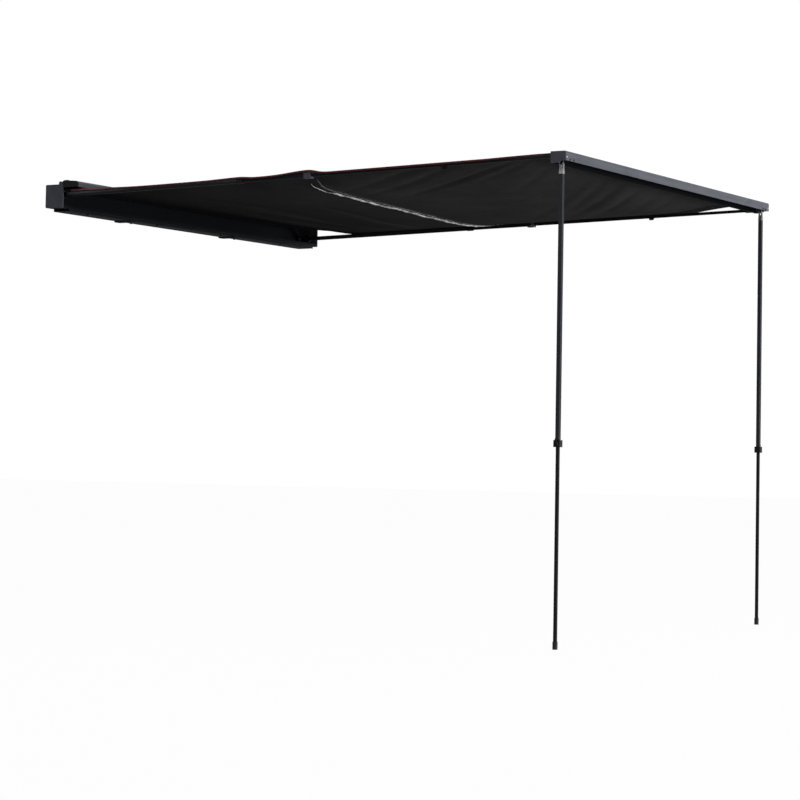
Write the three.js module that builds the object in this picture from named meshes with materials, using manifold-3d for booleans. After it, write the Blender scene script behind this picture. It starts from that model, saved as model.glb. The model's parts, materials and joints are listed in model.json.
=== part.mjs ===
// Side awning for the roof bars of a vehicle, shown open on its two legs.
// A hard case holds two telescopic arms, a lead rail with two folding legs, and the canopy.
// Units are millimetres, X runs along the case, Y points back over the vehicle, Z is up.
// The origin is the middle of the flat underside of the case's base track.

import * as THREE from 'three';
import { mergeGeometries, mergeVertices } from 'three/addons/utils/BufferGeometryUtils.js';
import Module from 'manifold-3d';

const wasm = await Module();
wasm.setup();

// Driving dimensions of the open awning
const caseLength = 2050;
const openReach = 2423;
const railTop = 140;
const groundDepth = 1760;

// Clearances
const fitGap = 0.35;
const seatGap = 0.3;
const cutOverrun = 2;

// Base track under the case
const baseWidth = 88;
const baseHeight = 12;
const baseInset = 47;
const basePlate = 3;
const baseRib = 4;
const slotSide = 3;
const slotMouth = 8;
const slotWidth = 17;
const slotHeight = 6.5;
const slotLip = 2.5;
const slotFromFront = 13;

// Case channel
const caseDepth = 94;
const caseSetback = 3;
const caseBodyHeight = 101;
const caseWall = 2.5;
const caseRound = 6;
const mouthLip = 14;
const hingePostHeight = 5;
const hingePostWidth = 2.4;
const hingeBead = 3.2;
const hingeFromFront = 15;

// Fabric track inside the mouth of the case
const kederRod = 6;
const kederBore = 7.4;
const trackWall = 1.8;
const trackFromFront = 17;
const trackHeight = 97;
const trackMouth = 2.6;
const kederTail = 1.2;

// End caps of the case
const capThickness = 6;
const capPlugDepth = 14;
const capPlugWall = 3;
const capEarRound = 8;
const capEarBackAngle = -0.2;
const capEarFrontAngle = Math.PI * 0.75;

// Lid, standing open over the mouth
const lidReach = 92;
const lidTopRise = 12;
const lidTopFall = 5;
const lidDrop = 18;
const lidWall = 2.2;
const lidNose = 11;
const lidReturn = 7;
const lidStart = 4;
const lidCapThickness = 9;
const lidCapPlug = 10;
const hookLipAngle = -0.5;
const hookRoofAngle = Math.PI * 0.6;
const hookMouthAngle = Math.PI * 0.85;

// Brackets that clamp the base track to the roof bars
const bracketWidth = 42;
const bracketLip = 4;
const bracketLipHeight = 6;
const bracketThickness = 5;
const bracketEdge = 3;
const barPlaces = [-520, 300];

// Bolts in the base track
const boltAcross = 13;
const boltHead = 8;
const boltShank = 6;
const trackBoltPitch = 512;
const trackBoltCount = 4;
const trackBoltMiddle = -65;

// Arms: places are distances outward from the shoulder pivot
const armFromEnd = 40;
const pivotFromFront = 27;
const nearPivotHeight = 71.3;
const armStack = 21;
const tipDrop = 12.5;
const outerTube = 18;
const midTube = 15.3;
const innerTube = 12.8;
const armWall = 1;
const tubeRound = 2.4;
const outerEnd = 926;
const midEnd = 1261;
const midOverlap = 110;
const innerOverlap = 130;
const tipNose = 14;
const tipPlug = 26;

// Shoulder joint
const rootRound = 11;
const rootLength = 24;
const rootPlug = 45;
const pivotBolt = 8;
const pivotHead = 15;
const pivotHeadHeight = 4;
const shoulderPlate = 3;
const shoulderBack = 4;
const shoulderWidth = 30;

// Lock collars on the arms
const collarRound = 3.5;
const firstCollarSize = 22;
const firstCollarLength = 30;
const secondCollarSize = 26;
const secondCollarLength = 34;
const lugThickness = 3;
const lugReach = 8;
const lugLength = 12;
const leverWidth = 9;
const leverThickness = 4.5;
const leverLength = 28;
const leverPin = 3;

// Lead rail
const railDepth = 65;
const railFace = 36;
const railWall = 2.4;
const railRearDrop = 8;
const railRound = 3;
const railCapThickness = 8;
const railCapPlug = 18;
const railCapWall = 2.6;

// Sockets that take the arm tips
const socketReach = 30;
const socketWall = 2.6;

// Legs
const legInset = 53;
const nearLane = 43;
const farLane = 18;
const legPivotHeight = 102;
const legTube = 17.4;
const legWall = 1.2;
const legInnerTube = 13;
const legGroove = 5;
const legGrooveDepth = 0.5;
const forkDrop = 44;
const forkHead = 7;
const forkNeck = 9;
const forkNeckDrop = 17;
const forkEar = 5;
const forkCrotch = 20;
const forkPlug = 30;
const tonguePlate = 6;
const tongueHead = 9;
const legPin = 5;
const legPinHead = 9;
const legPinHeadHeight = 1.6;
const forkRivetDrop = 32;
const forkRivetHead = 0.8;
const legBracketLength = 52;
const legBracketTop = 7;
const legBracketFlange = 4;
const legClampDrop = 1079;
const clampSize = 28;
const clampHeight = 27;
const clampLeverLength = 21.6;
const legOverlap = 250;
const footCap = 16.6;
const footCapHeight = 30;
const footRound = 3.4;
const footSole = 6;

// Canopy
const canopyFromEnd = 21;
const canopyThickness = 1.2;
const canopyLift = 2.6;
const canopyLevel = 14;
const canopySag = 30;
const sagPower = 2.4;
const canopyHem = 9;
const canopyHemWidth = 12;
const canopyEdgeStrip = 36;
const foldRise = 6;
const foldSpread = 60;
const endTuck = 22;
const firstPucker = 4;
const secondPucker = 12;
const puckerLength = 120;
const tubeStepLength = 70;
const canopyAcross = 21;
const canopyAlong = 20;
const kederLength = 1950;
const tuckShare = 0.12;
const caseBlendShare = 0.09;
const railBlendShare = 0.86;
const freeShares = [0.2, 0.8];

// Main folds: where each one starts and ends, across and along the canopy
const foldLineShares = [
  [0.01, 0.99, 0.2, 0.62],
  [0.28, 0.99, 0.48, 0.82],
  [0.49, 0.97, 0.81, 0.72],
  [0.29, 0.17, 0.9, 0.35],
  [0.17, 0.37, 0.6, 0.39],
];

// Band sewn across the underside of the canopy, further out at the near arm than at the far arm
const bandNearOut = 1243;
const bandFarOut = 1011;
const bandWidth = 60;
const bandThickness = 1.6;
const bandGap = 0.8;

// Places worked out from the sizes above
const halfLength = caseLength / 2;
const caseFront = caseSetback - baseWidth / 2;
const caseBack = caseFront + caseDepth;
const caseTop = baseHeight + caseBodyHeight;
const channelEnd = halfLength - capThickness;
const hingeY = caseFront + hingeFromFront;
const hingeZ = caseTop + hingePostHeight;
const trackY = caseFront + trackFromFront;
const slotY = -baseWidth / 2 + slotFromFront;
const pivotY = caseFront + pivotFromFront;
const railFront = caseFront - openReach;
const railRear = railFront + railDepth;
const railBottom = railTop - railFace;
const railEnd = halfLength - railCapThickness;
const armPlace = halfLength - armFromEnd;
const armTilt = Math.atan2(railTop - tipDrop - nearPivotHeight, pivotY - railRear);
const armLength = (pivotY - railRear) / Math.cos(armTilt) - fitGap * 4;
const innerEnd = armLength - tipNose;
const legPlace = halfLength - legInset;
const kederBoss = kederBore + trackWall * 2;
const railKederY = railRear - railWall / 2 - kederBoss / 2;
const railKederZ = railTop - kederBoss / 2;
const canopyWidth = caseLength - canopyFromEnd * 2;
const sideNames = new Map([[-1, 'near'], [1, 'far']]);

const part = new THREE.Group();

// Materials
const finish = (color, roughness, metalness) =>
  new THREE.MeshStandardMaterial({ color, roughness, metalness });
const greyAluminium = finish(0x8b8d95, 0.42, 0.85);
const blackAluminium = finish(0x2a2c30, 0.45, 0.7);
const darkPlastic = finish(0x3a3b40, 0.62, 0);
const blackPlastic = finish(0x161719, 0.6, 0);
const castMetal = finish(0xa9a9ad, 0.38, 0.9);
const steel = finish(0x9a9ca0, 0.35, 1);
const blackSteel = finish(0x26272a, 0.45, 0.9);
const rubber = finish(0x1b1b1c, 0.85, 0);
const canvas = finish(0x272627, 0.9, 0);
const webbing = finish(0x1a1a1b, 0.88, 0);

// Turns a profile drawn across the extrusion into a closed body along one axis
const basisAlongX = new THREE.Matrix4().makeBasis(
  new THREE.Vector3(0, 1, 0), new THREE.Vector3(0, 0, 1), new THREE.Vector3(1, 0, 0));
const basisAlongY = new THREE.Matrix4().makeBasis(
  new THREE.Vector3(1, 0, 0), new THREE.Vector3(0, 0, 1), new THREE.Vector3(0, -1, 0));

function extrude(shape, depth, curveSegments = 3) {
  return new THREE.ExtrudeGeometry(shape, { depth, bevelEnabled: false, curveSegments });
}

function alongX(shape, start, end, curveSegments) {
  return extrude(shape, end - start, curveSegments).applyMatrix4(basisAlongX).translate(start, 0, 0);
}

function alongY(shape, start, end, curveSegments) {
  return extrude(shape, end - start, curveSegments).applyMatrix4(basisAlongY).translate(0, end, 0);
}

function alongZ(shape, start, end, curveSegments) {
  return extrude(shape, end - start, curveSegments).translate(0, 0, start);
}

// Draws a rectangle with rounded corners about a centre
function roundedRect(width, height, radius, centreX = 0, centreY = 0) {
  const [left, right] = [centreX - width / 2, centreX + width / 2];
  const [bottom, top] = [centreY - height / 2, centreY + height / 2];
  const shape = new THREE.Shape();
  shape.moveTo(left + radius, bottom);
  shape.lineTo(right - radius, bottom);
  shape.absarc(right - radius, bottom + radius, radius, -Math.PI / 2, 0);
  shape.lineTo(right, top - radius);
  shape.absarc(right - radius, top - radius, radius, 0, Math.PI / 2);
  shape.lineTo(left + radius, top);
  shape.absarc(left + radius, top - radius, radius, Math.PI / 2, Math.PI);
  shape.lineTo(left, bottom + radius);
  shape.absarc(left + radius, bottom + radius, radius, Math.PI, Math.PI * 1.5);
  return shape;
}

function polygon(points) {
  return new THREE.Shape(points.map(([a, b]) => new THREE.Vector2(a, b)));
}

// A box between two corners
function block(x0, x1, y0, y1, z0, z1) {
  const box = new THREE.BoxGeometry(x1 - x0, y1 - y0, z1 - z0);
  return box.translate((x0 + x1) / 2, (y0 + y1) / 2, (z0 + z1) / 2);
}

// The span along X between two distances inward from one end of the case
function endSpan(side, outer, inner) {
  const places = [side * (halfLength - outer), side * (halfLength - inner)];
  return [Math.min(...places), Math.max(...places)];
}

function rod(diameter, start, end, sides = 16) {
  const rodShape = new THREE.CylinderGeometry(diameter / 2, diameter / 2, end - start, sides);
  return rodShape.rotateX(Math.PI / 2).translate(0, 0, (start + end) / 2);
}

// Cuts and joins closed bodies
function solid(geometry) {
  const bare = geometry.clone();
  bare.deleteAttribute('normal');
  bare.deleteAttribute('uv');
  const merged = mergeVertices(bare);
  return new wasm.Manifold(new wasm.Mesh({
    numProp: 3,
    vertProperties: Float32Array.from(merged.attributes.position.array),
    triVerts: Uint32Array.from(merged.index.array),
  }));
}

function surface(manifold) {
  const mesh = manifold.getMesh();
  const geometry = new THREE.BufferGeometry();
  geometry.setAttribute('position', new THREE.BufferAttribute(mesh.vertProperties, 3));
  geometry.setIndex(new THREE.BufferAttribute(mesh.triVerts, 1));
  geometry.computeVertexNormals();
  return geometry;
}

function cut(body, ...tools) {
  return surface(tools.reduce((left, tool) => left.subtract(solid(tool)), solid(body)));
}

function join(...bodies) {
  return surface(bodies.slice(1).reduce((left, body) => left.add(solid(body)), solid(bodies[0])));
}

function add(name, geometry, material, parent = part) {
  const mesh = new THREE.Mesh(geometry, material);
  mesh.name = name;
  parent.add(mesh);
  return mesh;
}

// Hollow box section along Y, with its corners rounded
function squareTube(size, wall, start, end) {
  const section = roundedRect(size, size, tubeRound);
  section.holes.push(roundedRect(size - wall * 2, size - wall * 2, tubeRound - wall));
  return alongY(section, start, end, 2);
}

// Base track: a flat plate with a T-slot open to the underside and a rib at the back
function makeBaseTrack() {
  const top = baseHeight - seatGap;
  const outline = polygon([
    [-baseWidth / 2, 0],
    [slotY - slotMouth / 2, 0],
    [slotY - slotMouth / 2, slotLip],
    [slotY - slotWidth / 2, slotLip],
    [slotY - slotWidth / 2, slotLip + slotHeight],
    [slotY + slotWidth / 2, slotLip + slotHeight],
    [slotY + slotWidth / 2, slotLip],
    [slotY + slotMouth / 2, slotLip],
    [slotY + slotMouth / 2, 0],
    [baseWidth / 2, 0],
    [baseWidth / 2, top],
    [baseWidth / 2 - baseRib, top],
    [baseWidth / 2 - baseRib, basePlate],
    [slotY + slotWidth / 2 + slotSide, basePlate],
    [slotY + slotWidth / 2 + slotSide, top],
    [-baseWidth / 2 + caseSetback, top],
  ]);
  add('base_track', alongX(outline, baseInset - halfLength, halfLength - baseInset), blackAluminium);
}

// Case channel: back, floor and roof in one extrusion, open to the front
function makeCaseChannel() {
  const outer = new THREE.Shape();
  outer.moveTo(caseFront, baseHeight);
  outer.lineTo(caseBack - caseRound, baseHeight);
  outer.absarc(caseBack - caseRound, baseHeight + caseRound, caseRound, -Math.PI / 2, 0);
  outer.lineTo(caseBack, caseTop - caseRound);
  outer.absarc(caseBack - caseRound, caseTop - caseRound, caseRound, 0, Math.PI / 2);
  outer.lineTo(caseFront, caseTop);
  outer.lineTo(caseFront, caseTop - mouthLip / 2);
  outer.lineTo(caseFront + caseWall, caseTop - mouthLip / 2);
  outer.lineTo(caseFront + caseWall, caseTop - caseWall);
  outer.lineTo(caseBack - caseRound, caseTop - caseWall);
  outer.absarc(caseBack - caseRound, caseTop - caseRound, caseRound - caseWall, Math.PI / 2, 0, true);
  outer.lineTo(caseBack - caseWall, baseHeight + caseRound);
  outer.absarc(caseBack - caseRound, baseHeight + caseRound, caseRound - caseWall, 0, -Math.PI / 2, true);
  outer.lineTo(caseFront + caseWall, baseHeight + caseWall);
  outer.lineTo(caseFront + caseWall, baseHeight + mouthLip);
  outer.lineTo(caseFront, baseHeight + mouthLip);
  const shell = alongX(outer, -channelEnd, channelEnd);

  // the fabric track hangs from the roof just behind the mouth
  const trackSection = roundedRect(kederBoss, kederBoss, trackWall, trackY, trackHeight);
  const track = alongX(trackSection, -channelEnd, channelEnd);
  const web = block(-channelEnd, channelEnd, trackY - trackWall / 2, trackY + trackWall / 2,
    trackHeight + kederBoss / 2 - trackWall / 2, caseTop - caseWall / 2);
  const bore = rod(kederBore, -channelEnd - cutOverrun, channelEnd + cutOverrun, 12)
    .rotateY(Math.PI / 2).translate(0, trackY, trackHeight);
  const mouth = block(-channelEnd - cutOverrun, channelEnd + cutOverrun, trackY - kederBoss, trackY,
    trackHeight - trackMouth / 2, trackHeight + trackMouth / 2);

  // the bead that the lid's hook turns on
  const post = block(-channelEnd, channelEnd, hingeY - hingePostWidth / 2, hingeY + hingePostWidth / 2,
    caseTop - caseWall / 2, hingeZ);
  const bead = rod(hingeBead * 2, -channelEnd, channelEnd, 16)
    .rotateY(Math.PI / 2).translate(0, hingeY, hingeZ);
  const body = join(shell, track, web, post, bead);
  add('case_channel', cut(body, bore, mouth), blackAluminium);
}

// Moulded end cap: a plate on the end of the channel with a plug inside it and an ear for the lid
function makeEndCap(side) {
  const bodyOutline = new THREE.Shape();
  bodyOutline.moveTo(caseFront, baseHeight);
  bodyOutline.lineTo(caseBack - caseRound, baseHeight);
  bodyOutline.absarc(caseBack - caseRound, baseHeight + caseRound, caseRound, -Math.PI / 2, 0);
  bodyOutline.lineTo(caseBack, caseTop - caseRound);
  bodyOutline.absarc(caseBack - caseRound, caseTop - caseRound, caseRound, 0, Math.PI / 2);
  bodyOutline.lineTo(hingeY + capEarRound, caseTop);
  bodyOutline.absarc(hingeY, hingeZ, capEarRound, capEarBackAngle, capEarFrontAngle);
  bodyOutline.lineTo(caseFront, hingeZ);
  const plate = alongX(bodyOutline, ...endSpan(side, 0, capThickness - seatGap), 4);
  const plugWidth = caseDepth - (caseWall + fitGap) * 2;
  const plugHeight = caseBodyHeight - (caseWall + fitGap) * 2;
  const plugMiddleZ = baseHeight + caseBodyHeight / 2;
  const plugSection = roundedRect(plugWidth, plugHeight, caseRound - caseWall,
    caseFront + caseDepth / 2, plugMiddleZ);
  const plugEnd = capThickness + capPlugDepth;
  const plug = alongX(plugSection, ...endSpan(side, capThickness - cutOverrun, plugEnd));
  const core = block(...endSpan(side, capThickness + capPlugWall, plugEnd + cutOverrun),
    caseFront + caseWall + fitGap + capPlugWall, caseBack - caseWall - fitGap - capPlugWall,
    baseHeight + caseWall + fitGap + capPlugWall, caseTop - caseWall - fitGap - capPlugWall);

  // the plug keeps clear of the fabric track and of the open mouth
  const trackRoom = block(...endSpan(side, capThickness - seatGap, plugEnd + cutOverrun),
    caseFront - cutOverrun, trackY + kederBoss / 2 + fitGap * 2, baseHeight - cutOverrun, caseTop);
  const hollowPlug = cut(plug, core, trackRoom);
  add(`end_cap_${sideNames.get(side)}`, join(plate, hollowPlug), darkPlastic);
}

// Lid profile: a hook round the hinge bead, a gently falling roof, a round nose and a front face
function lidOutline() {
  const hookInner = hingeBead + fitGap;
  const hookOuter = hookInner + lidWall;
  const frontY = hingeY - lidReach;
  const topZ = hingeZ + lidTopRise;
  const noseZ = topZ - lidTopFall;
  const bottomZ = hingeZ - lidDrop;
  const shape = new THREE.Shape();
  shape.moveTo(hingeY + hookOuter * Math.cos(hookLipAngle), hingeZ + hookOuter * Math.sin(hookLipAngle));
  shape.absarc(hingeY, hingeZ, hookOuter, hookLipAngle, hookRoofAngle);
  shape.lineTo(hingeY - lidStart * 2, topZ);
  shape.lineTo(frontY + lidNose, noseZ);
  shape.absarc(frontY + lidNose, noseZ - lidNose, lidNose, Math.PI / 2, Math.PI);
  shape.lineTo(frontY, bottomZ);
  shape.lineTo(frontY + lidReturn, bottomZ);
  shape.lineTo(frontY + lidReturn, bottomZ + lidWall);
  shape.lineTo(frontY + lidWall, bottomZ + lidWall);
  shape.lineTo(frontY + lidWall, noseZ - lidNose);
  shape.absarc(frontY + lidNose, noseZ - lidNose, lidNose - lidWall, Math.PI, Math.PI / 2, true);
  shape.lineTo(hingeY - lidStart * 2, topZ - lidWall);
  const mouthY = hingeY + hookInner * Math.cos(hookMouthAngle);
  const mouthZ = hingeZ + hookInner * Math.sin(hookMouthAngle);
  shape.lineTo(mouthY - lidWall, mouthZ);
  shape.lineTo(mouthY, mouthZ);
  shape.absarc(hingeY, hingeZ, hookInner, hookMouthAngle, hookLipAngle, true);
  return shape;
}

function makeLid() {
  const lidEnd = halfLength - lidCapThickness - seatGap;
  add('lid', alongX(lidOutline(), -lidEnd, lidEnd, 6), greyAluminium);
}

// Moulded cap on each end of the lid, with a rib that plugs the profile
function makeLidCap(side) {
  const frontY = hingeY - lidReach;
  const backY = caseFront - lidStart + fitGap;
  const topZ = hingeZ + lidTopRise + seatGap;
  const noseZ = topZ - lidTopFall;
  const bottomZ = hingeZ - lidDrop - seatGap;
  const outline = new THREE.Shape();
  outline.moveTo(backY, bottomZ);
  outline.lineTo(backY, topZ - lidNose / 2);
  outline.absarc(backY - lidNose / 2, topZ - lidNose / 2, lidNose / 2, 0, Math.PI / 2);
  outline.lineTo(backY - lidNose * 2, topZ);
  outline.lineTo(backY - lidNose * 2 - lidStart, topZ - lidTopFall / 2);
  outline.lineTo(frontY + lidNose, noseZ);
  outline.absarc(frontY + lidNose, noseZ - lidNose, lidNose, Math.PI / 2, Math.PI);
  outline.lineTo(frontY, bottomZ);
  const plate = alongX(outline, ...endSpan(side, 0, lidCapThickness), 4);
  const rib = block(...endSpan(side, lidCapThickness - cutOverrun, lidCapThickness + lidCapPlug),
    frontY + lidWall + fitGap + lidNose / 2, backY - lidNose * 2,
    bottomZ + lidWall + fitGap * 2, noseZ - lidWall - lidNose / 2);
  add(`lid_cap_${sideNames.get(side)}`, join(plate, rib), blackPlastic);
}

// Clamp plate on a roof bar, with a raised edge at the back of the base track
function makeBracket(name, place) {
  const plateBack = baseWidth / 2 + seatGap + bracketLip;
  const plateDepth = plateBack + baseWidth / 2;
  const plateShape = roundedRect(bracketWidth, plateDepth, bracketEdge, place, plateBack - plateDepth / 2);
  const plate = alongZ(plateShape, -bracketThickness, -seatGap);
  const hole = rod(boltShank + fitGap * 2, -bracketThickness - cutOverrun, cutOverrun, 16)
    .translate(place, slotY, 0);
  const edge = block(place - bracketWidth / 2 + bracketEdge, place + bracketWidth / 2 - bracketEdge,
    plateBack - bracketLip, plateBack, -bracketThickness / 2, bracketLipHeight);
  add(`bracket_${name}`, cut(join(plate, edge), hole), blackAluminium);
  add(`bracket_bolt_${name}`, trackBolt(place, -bracketThickness - seatGap), steel);
}

// T-slot bolts: a square head in the slot, a shank, and a hexagon nut under the base or bracket
function trackBolt(place, nutTop) {
  const head = block(-slotWidth / 2 + fitGap, slotWidth / 2 - fitGap, -slotWidth / 2 + fitGap,
    slotWidth / 2 - fitGap, slotLip + seatGap, slotLip + slotHeight / 2);
  const shank = rod(boltShank, nutTop - boltHead / 2, slotLip + slotHeight / 3, 12);
  const nut = rod(boltAcross, nutTop - boltHead, nutTop, 6);
  return join(head, shank, nut).translate(place, slotY, 0);
}

function makeBolts() {
  const firstPlace = trackBoltMiddle - trackBoltPitch * (trackBoltCount - 1) / 2;
  for (let index = 0; index < trackBoltCount; index += 1) {
    add(`base_bolt_${index + 1}`, trackBolt(firstPlace + trackBoltPitch * index, -seatGap), steel);
  }
}

// Each arm has a frame at its shoulder pivot, tilted so that its own -Y runs out along the arm
function armFrame(side) {
  const frame = new THREE.Group();
  const pivotHeight = side < 0 ? nearPivotHeight : nearPivotHeight - armStack;
  frame.position.set(side * armPlace, pivotY, pivotHeight);
  frame.rotation.x = -armTilt;
  part.add(frame);
  return frame;
}

// Shoulder bracket: two plates round the arm's root, on a back plate against the case
function makeShoulder(side, frame) {
  const halfRoom = outerTube / 2 + fitGap;
  const backFace = caseBack - caseWall - pivotY - seatGap - (halfRoom + shoulderPlate) * Math.sin(armTilt);
  const plan = new THREE.Shape();
  plan.moveTo(-shoulderWidth / 2, backFace);
  plan.lineTo(-shoulderWidth / 2, 0);
  plan.absarc(0, 0, shoulderWidth / 2, Math.PI, Math.PI * 2);
  plan.lineTo(shoulderWidth / 2, backFace);
  const upper = alongZ(plan, halfRoom, halfRoom + shoulderPlate, 5);
  const lower = alongZ(plan, -halfRoom - shoulderPlate, -halfRoom, 5);
  const back = block(-shoulderWidth / 2, shoulderWidth / 2, backFace - shoulderBack, backFace,
    -halfRoom - shoulderPlate / 2, halfRoom + shoulderPlate / 2);
  const hole = rod(pivotBolt + fitGap * 2, -outerTube, outerTube, 16);
  add(`shoulder_${sideNames.get(side)}`, cut(join(upper, lower, back), hole), blackAluminium, frame);
}

function makePivotBolt(side, frame) {
  const seat = outerTube / 2 + fitGap + shoulderPlate + seatGap;
  const shank = rod(pivotBolt, -seat - pivotHeadHeight / 2, seat + pivotHeadHeight / 2, 16);
  const head = rod(pivotHead, seat, seat + pivotHeadHeight, 16);
  const nut = rod(pivotHead, -seat - pivotHeadHeight, -seat, 6);
  add(`pivot_bolt_${sideNames.get(side)}`, join(shank, head, nut), blackSteel, frame);
}

// Root fitting: a rounded eye on the pivot bolt, with a plug inside the outer tube
function makeArmRoot(side, frame) {
  const plan = new THREE.Shape();
  plan.moveTo(rootRound, 0);
  plan.absarc(0, 0, rootRound, 0, Math.PI);
  plan.lineTo(-outerTube / 2, -rootLength);
  plan.lineTo(outerTube / 2, -rootLength);
  const eye = alongZ(plan, -outerTube / 2, outerTube / 2, 6);
  const plugSize = outerTube - (armWall + fitGap) * 2;
  const plugSection = roundedRect(plugSize, plugSize, tubeRound - armWall);
  const plug = alongY(plugSection, -rootLength - rootPlug, -rootLength + cutOverrun, 2);
  const hole = rod(pivotBolt + fitGap * 2, -outerTube, outerTube, 16);
  add(`arm_root_${sideNames.get(side)}`, cut(join(eye, plug), hole), blackAluminium, frame);
}

// Lock collar: a block on the end of one tube that the next tube slides through, with two lugs
function lockCollar(fixedTube, slidingTube, tubeEnd, size, length, lugSide) {
  const start = tubeEnd - length / 2;
  const body = alongY(roundedRect(size, size, collarRound), -start - length, -start, 3);
  const fixedBore = fixedTube + fitGap * 2;
  const fixedRoom = block(-fixedBore / 2, fixedBore / 2, -tubeEnd - seatGap, -start + cutOverrun,
    -fixedBore / 2, fixedBore / 2);
  const slidingBore = slidingTube + fitGap * 2;
  const slidingRoom = block(-slidingBore / 2, slidingBore / 2, -start - length - cutOverrun,
    -tubeEnd + cutOverrun, -slidingBore / 2, slidingBore / 2);
  const pinX = lugSide * (size / 2 + lugReach / 2);
  const pinY = lugLength - start - length;
  const lugShape = roundedRect(lugReach + collarRound, lugLength, lugThickness,
    pinX - lugSide * collarRound / 2, pinY);
  const lugs = [-1, 1].map((end) => {
    const lugMiddle = end * (leverWidth / 2 + fitGap + lugThickness / 2);
    return alongZ(lugShape, lugMiddle - lugThickness / 2, lugMiddle + lugThickness / 2, 3);
  });
  const pinHole = rod(leverPin + fitGap * 2, -size / 2, size / 2, 12).translate(pinX, pinY, 0);
  return cut(join(body, ...lugs), fixedRoom, slidingRoom, pinHole);
}

// Lever with its cross pin, lying along the collar towards the shoulder
function lockLever(size, tubeEnd, length, lugSide, leverReach) {
  const pinX = lugSide * (size / 2 + lugReach / 2);
  const pinY = lugLength - tubeEnd - length / 2;
  const face = size / 2 + fitGap * 2;
  const bladePoints = [[0, -leverThickness / 2], [leverThickness, -leverThickness],
    [leverThickness, leverReach], [leverThickness / 2, leverReach]];
  const plan = polygon(bladePoints.map(([out, back]) => [lugSide * (face + out), pinY + back]));
  const blade = alongZ(plan, -leverWidth / 2, leverWidth / 2);
  const pinEnd = leverWidth / 2 + lugThickness;
  return join(blade, rod(leverPin, -pinEnd, pinEnd, 12).translate(pinX, pinY, 0));
}

function makeArm(side) {
  const name = sideNames.get(side);
  const frame = armFrame(side);
  makeShoulder(side, frame);
  makePivotBolt(side, frame);
  makeArmRoot(side, frame);
  const outer = squareTube(outerTube, armWall, -outerEnd, -rootLength - seatGap);
  const mid = squareTube(midTube, armWall, -midEnd, midOverlap - outerEnd);
  const inner = squareTube(innerTube, armWall, -innerEnd, innerOverlap - midEnd);
  add(`arm_outer_${name}`, outer, greyAluminium, frame);
  add(`arm_mid_${name}`, mid, blackAluminium, frame);
  add(`arm_inner_${name}`, inner, blackAluminium, frame);

  // both locks have their lever on the inner side of the arm
  const locks = [
    ['first', outerTube, midTube, outerEnd, firstCollarSize, firstCollarLength, blackPlastic],
    ['second', midTube, innerTube, midEnd, secondCollarSize, secondCollarLength, darkPlastic],
  ];
  for (const [order, fixedTube, slidingTube, tubeEnd, size, length, material] of locks) {
    const collar = lockCollar(fixedTube, slidingTube, tubeEnd, size, length, -side);
    add(`arm_collar_${order}_${name}`, collar, material, frame);
    const lever = lockLever(size, tubeEnd, length, -side, leverLength);
    add(`arm_lever_${order}_${name}`, lever, blackPlastic, frame);
  }

  // the tip plugs the inner tube and rests in the rail's socket
  const plugSize = innerTube - (armWall + fitGap) * 2;
  const plugSection = roundedRect(plugSize, plugSize, tubeRound - armWall);
  const plug = alongY(plugSection, -innerEnd - cutOverrun, tipPlug - innerEnd, 2);
  const nosePlan = new THREE.Shape();
  nosePlan.moveTo(-innerTube / 2, -innerEnd - seatGap);
  nosePlan.lineTo(-innerTube / 2, -armLength + innerTube / 4);
  nosePlan.lineTo(-innerTube / 4, -armLength);
  nosePlan.lineTo(innerTube / 4, -armLength);
  nosePlan.lineTo(innerTube / 2, -armLength + innerTube / 4);
  nosePlan.lineTo(innerTube / 2, -innerEnd - seatGap);
  const nose = alongZ(nosePlan, -innerTube / 2, innerTube / 2);
  add(`arm_tip_${name}`, join(nose, plug), blackPlastic, frame);
}

// Lead rail: front face, roof and a deeper rear wall, open below for the folded legs
function makeRail() {
  const rearBottom = railBottom - railRearDrop;
  const outline = new THREE.Shape();
  outline.moveTo(railFront, railBottom);
  outline.lineTo(railFront + railWall, railBottom);
  outline.lineTo(railFront + railWall, railTop - railWall);
  outline.lineTo(railRear - railWall, railTop - railWall);
  outline.lineTo(railRear - railWall, rearBottom);
  outline.lineTo(railRear, rearBottom);
  outline.lineTo(railRear, railTop);
  outline.lineTo(railFront + railRound, railTop);
  outline.absarc(railFront + railRound, railTop - railRound, railRound, Math.PI / 2, Math.PI);
  const shell = alongX(outline, -railEnd, railEnd, 4);
  const boss = block(-railEnd, railEnd, railRear - railWall / 2 - kederBoss, railRear - railWall / 2,
    railTop - kederBoss, railTop - railWall / 2);
  const bore = rod(kederBore, -railEnd - cutOverrun, railEnd + cutOverrun, 12)
    .rotateY(Math.PI / 2).translate(0, railKederY, railKederZ);
  const mouth = block(-railEnd - cutOverrun, railEnd + cutOverrun,
    railKederY - trackMouth / 2, railKederY + trackMouth / 2, railKederZ, railTop + cutOverrun);
  add('lead_rail', cut(join(shell, boss), bore, mouth), greyAluminium);
}

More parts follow.
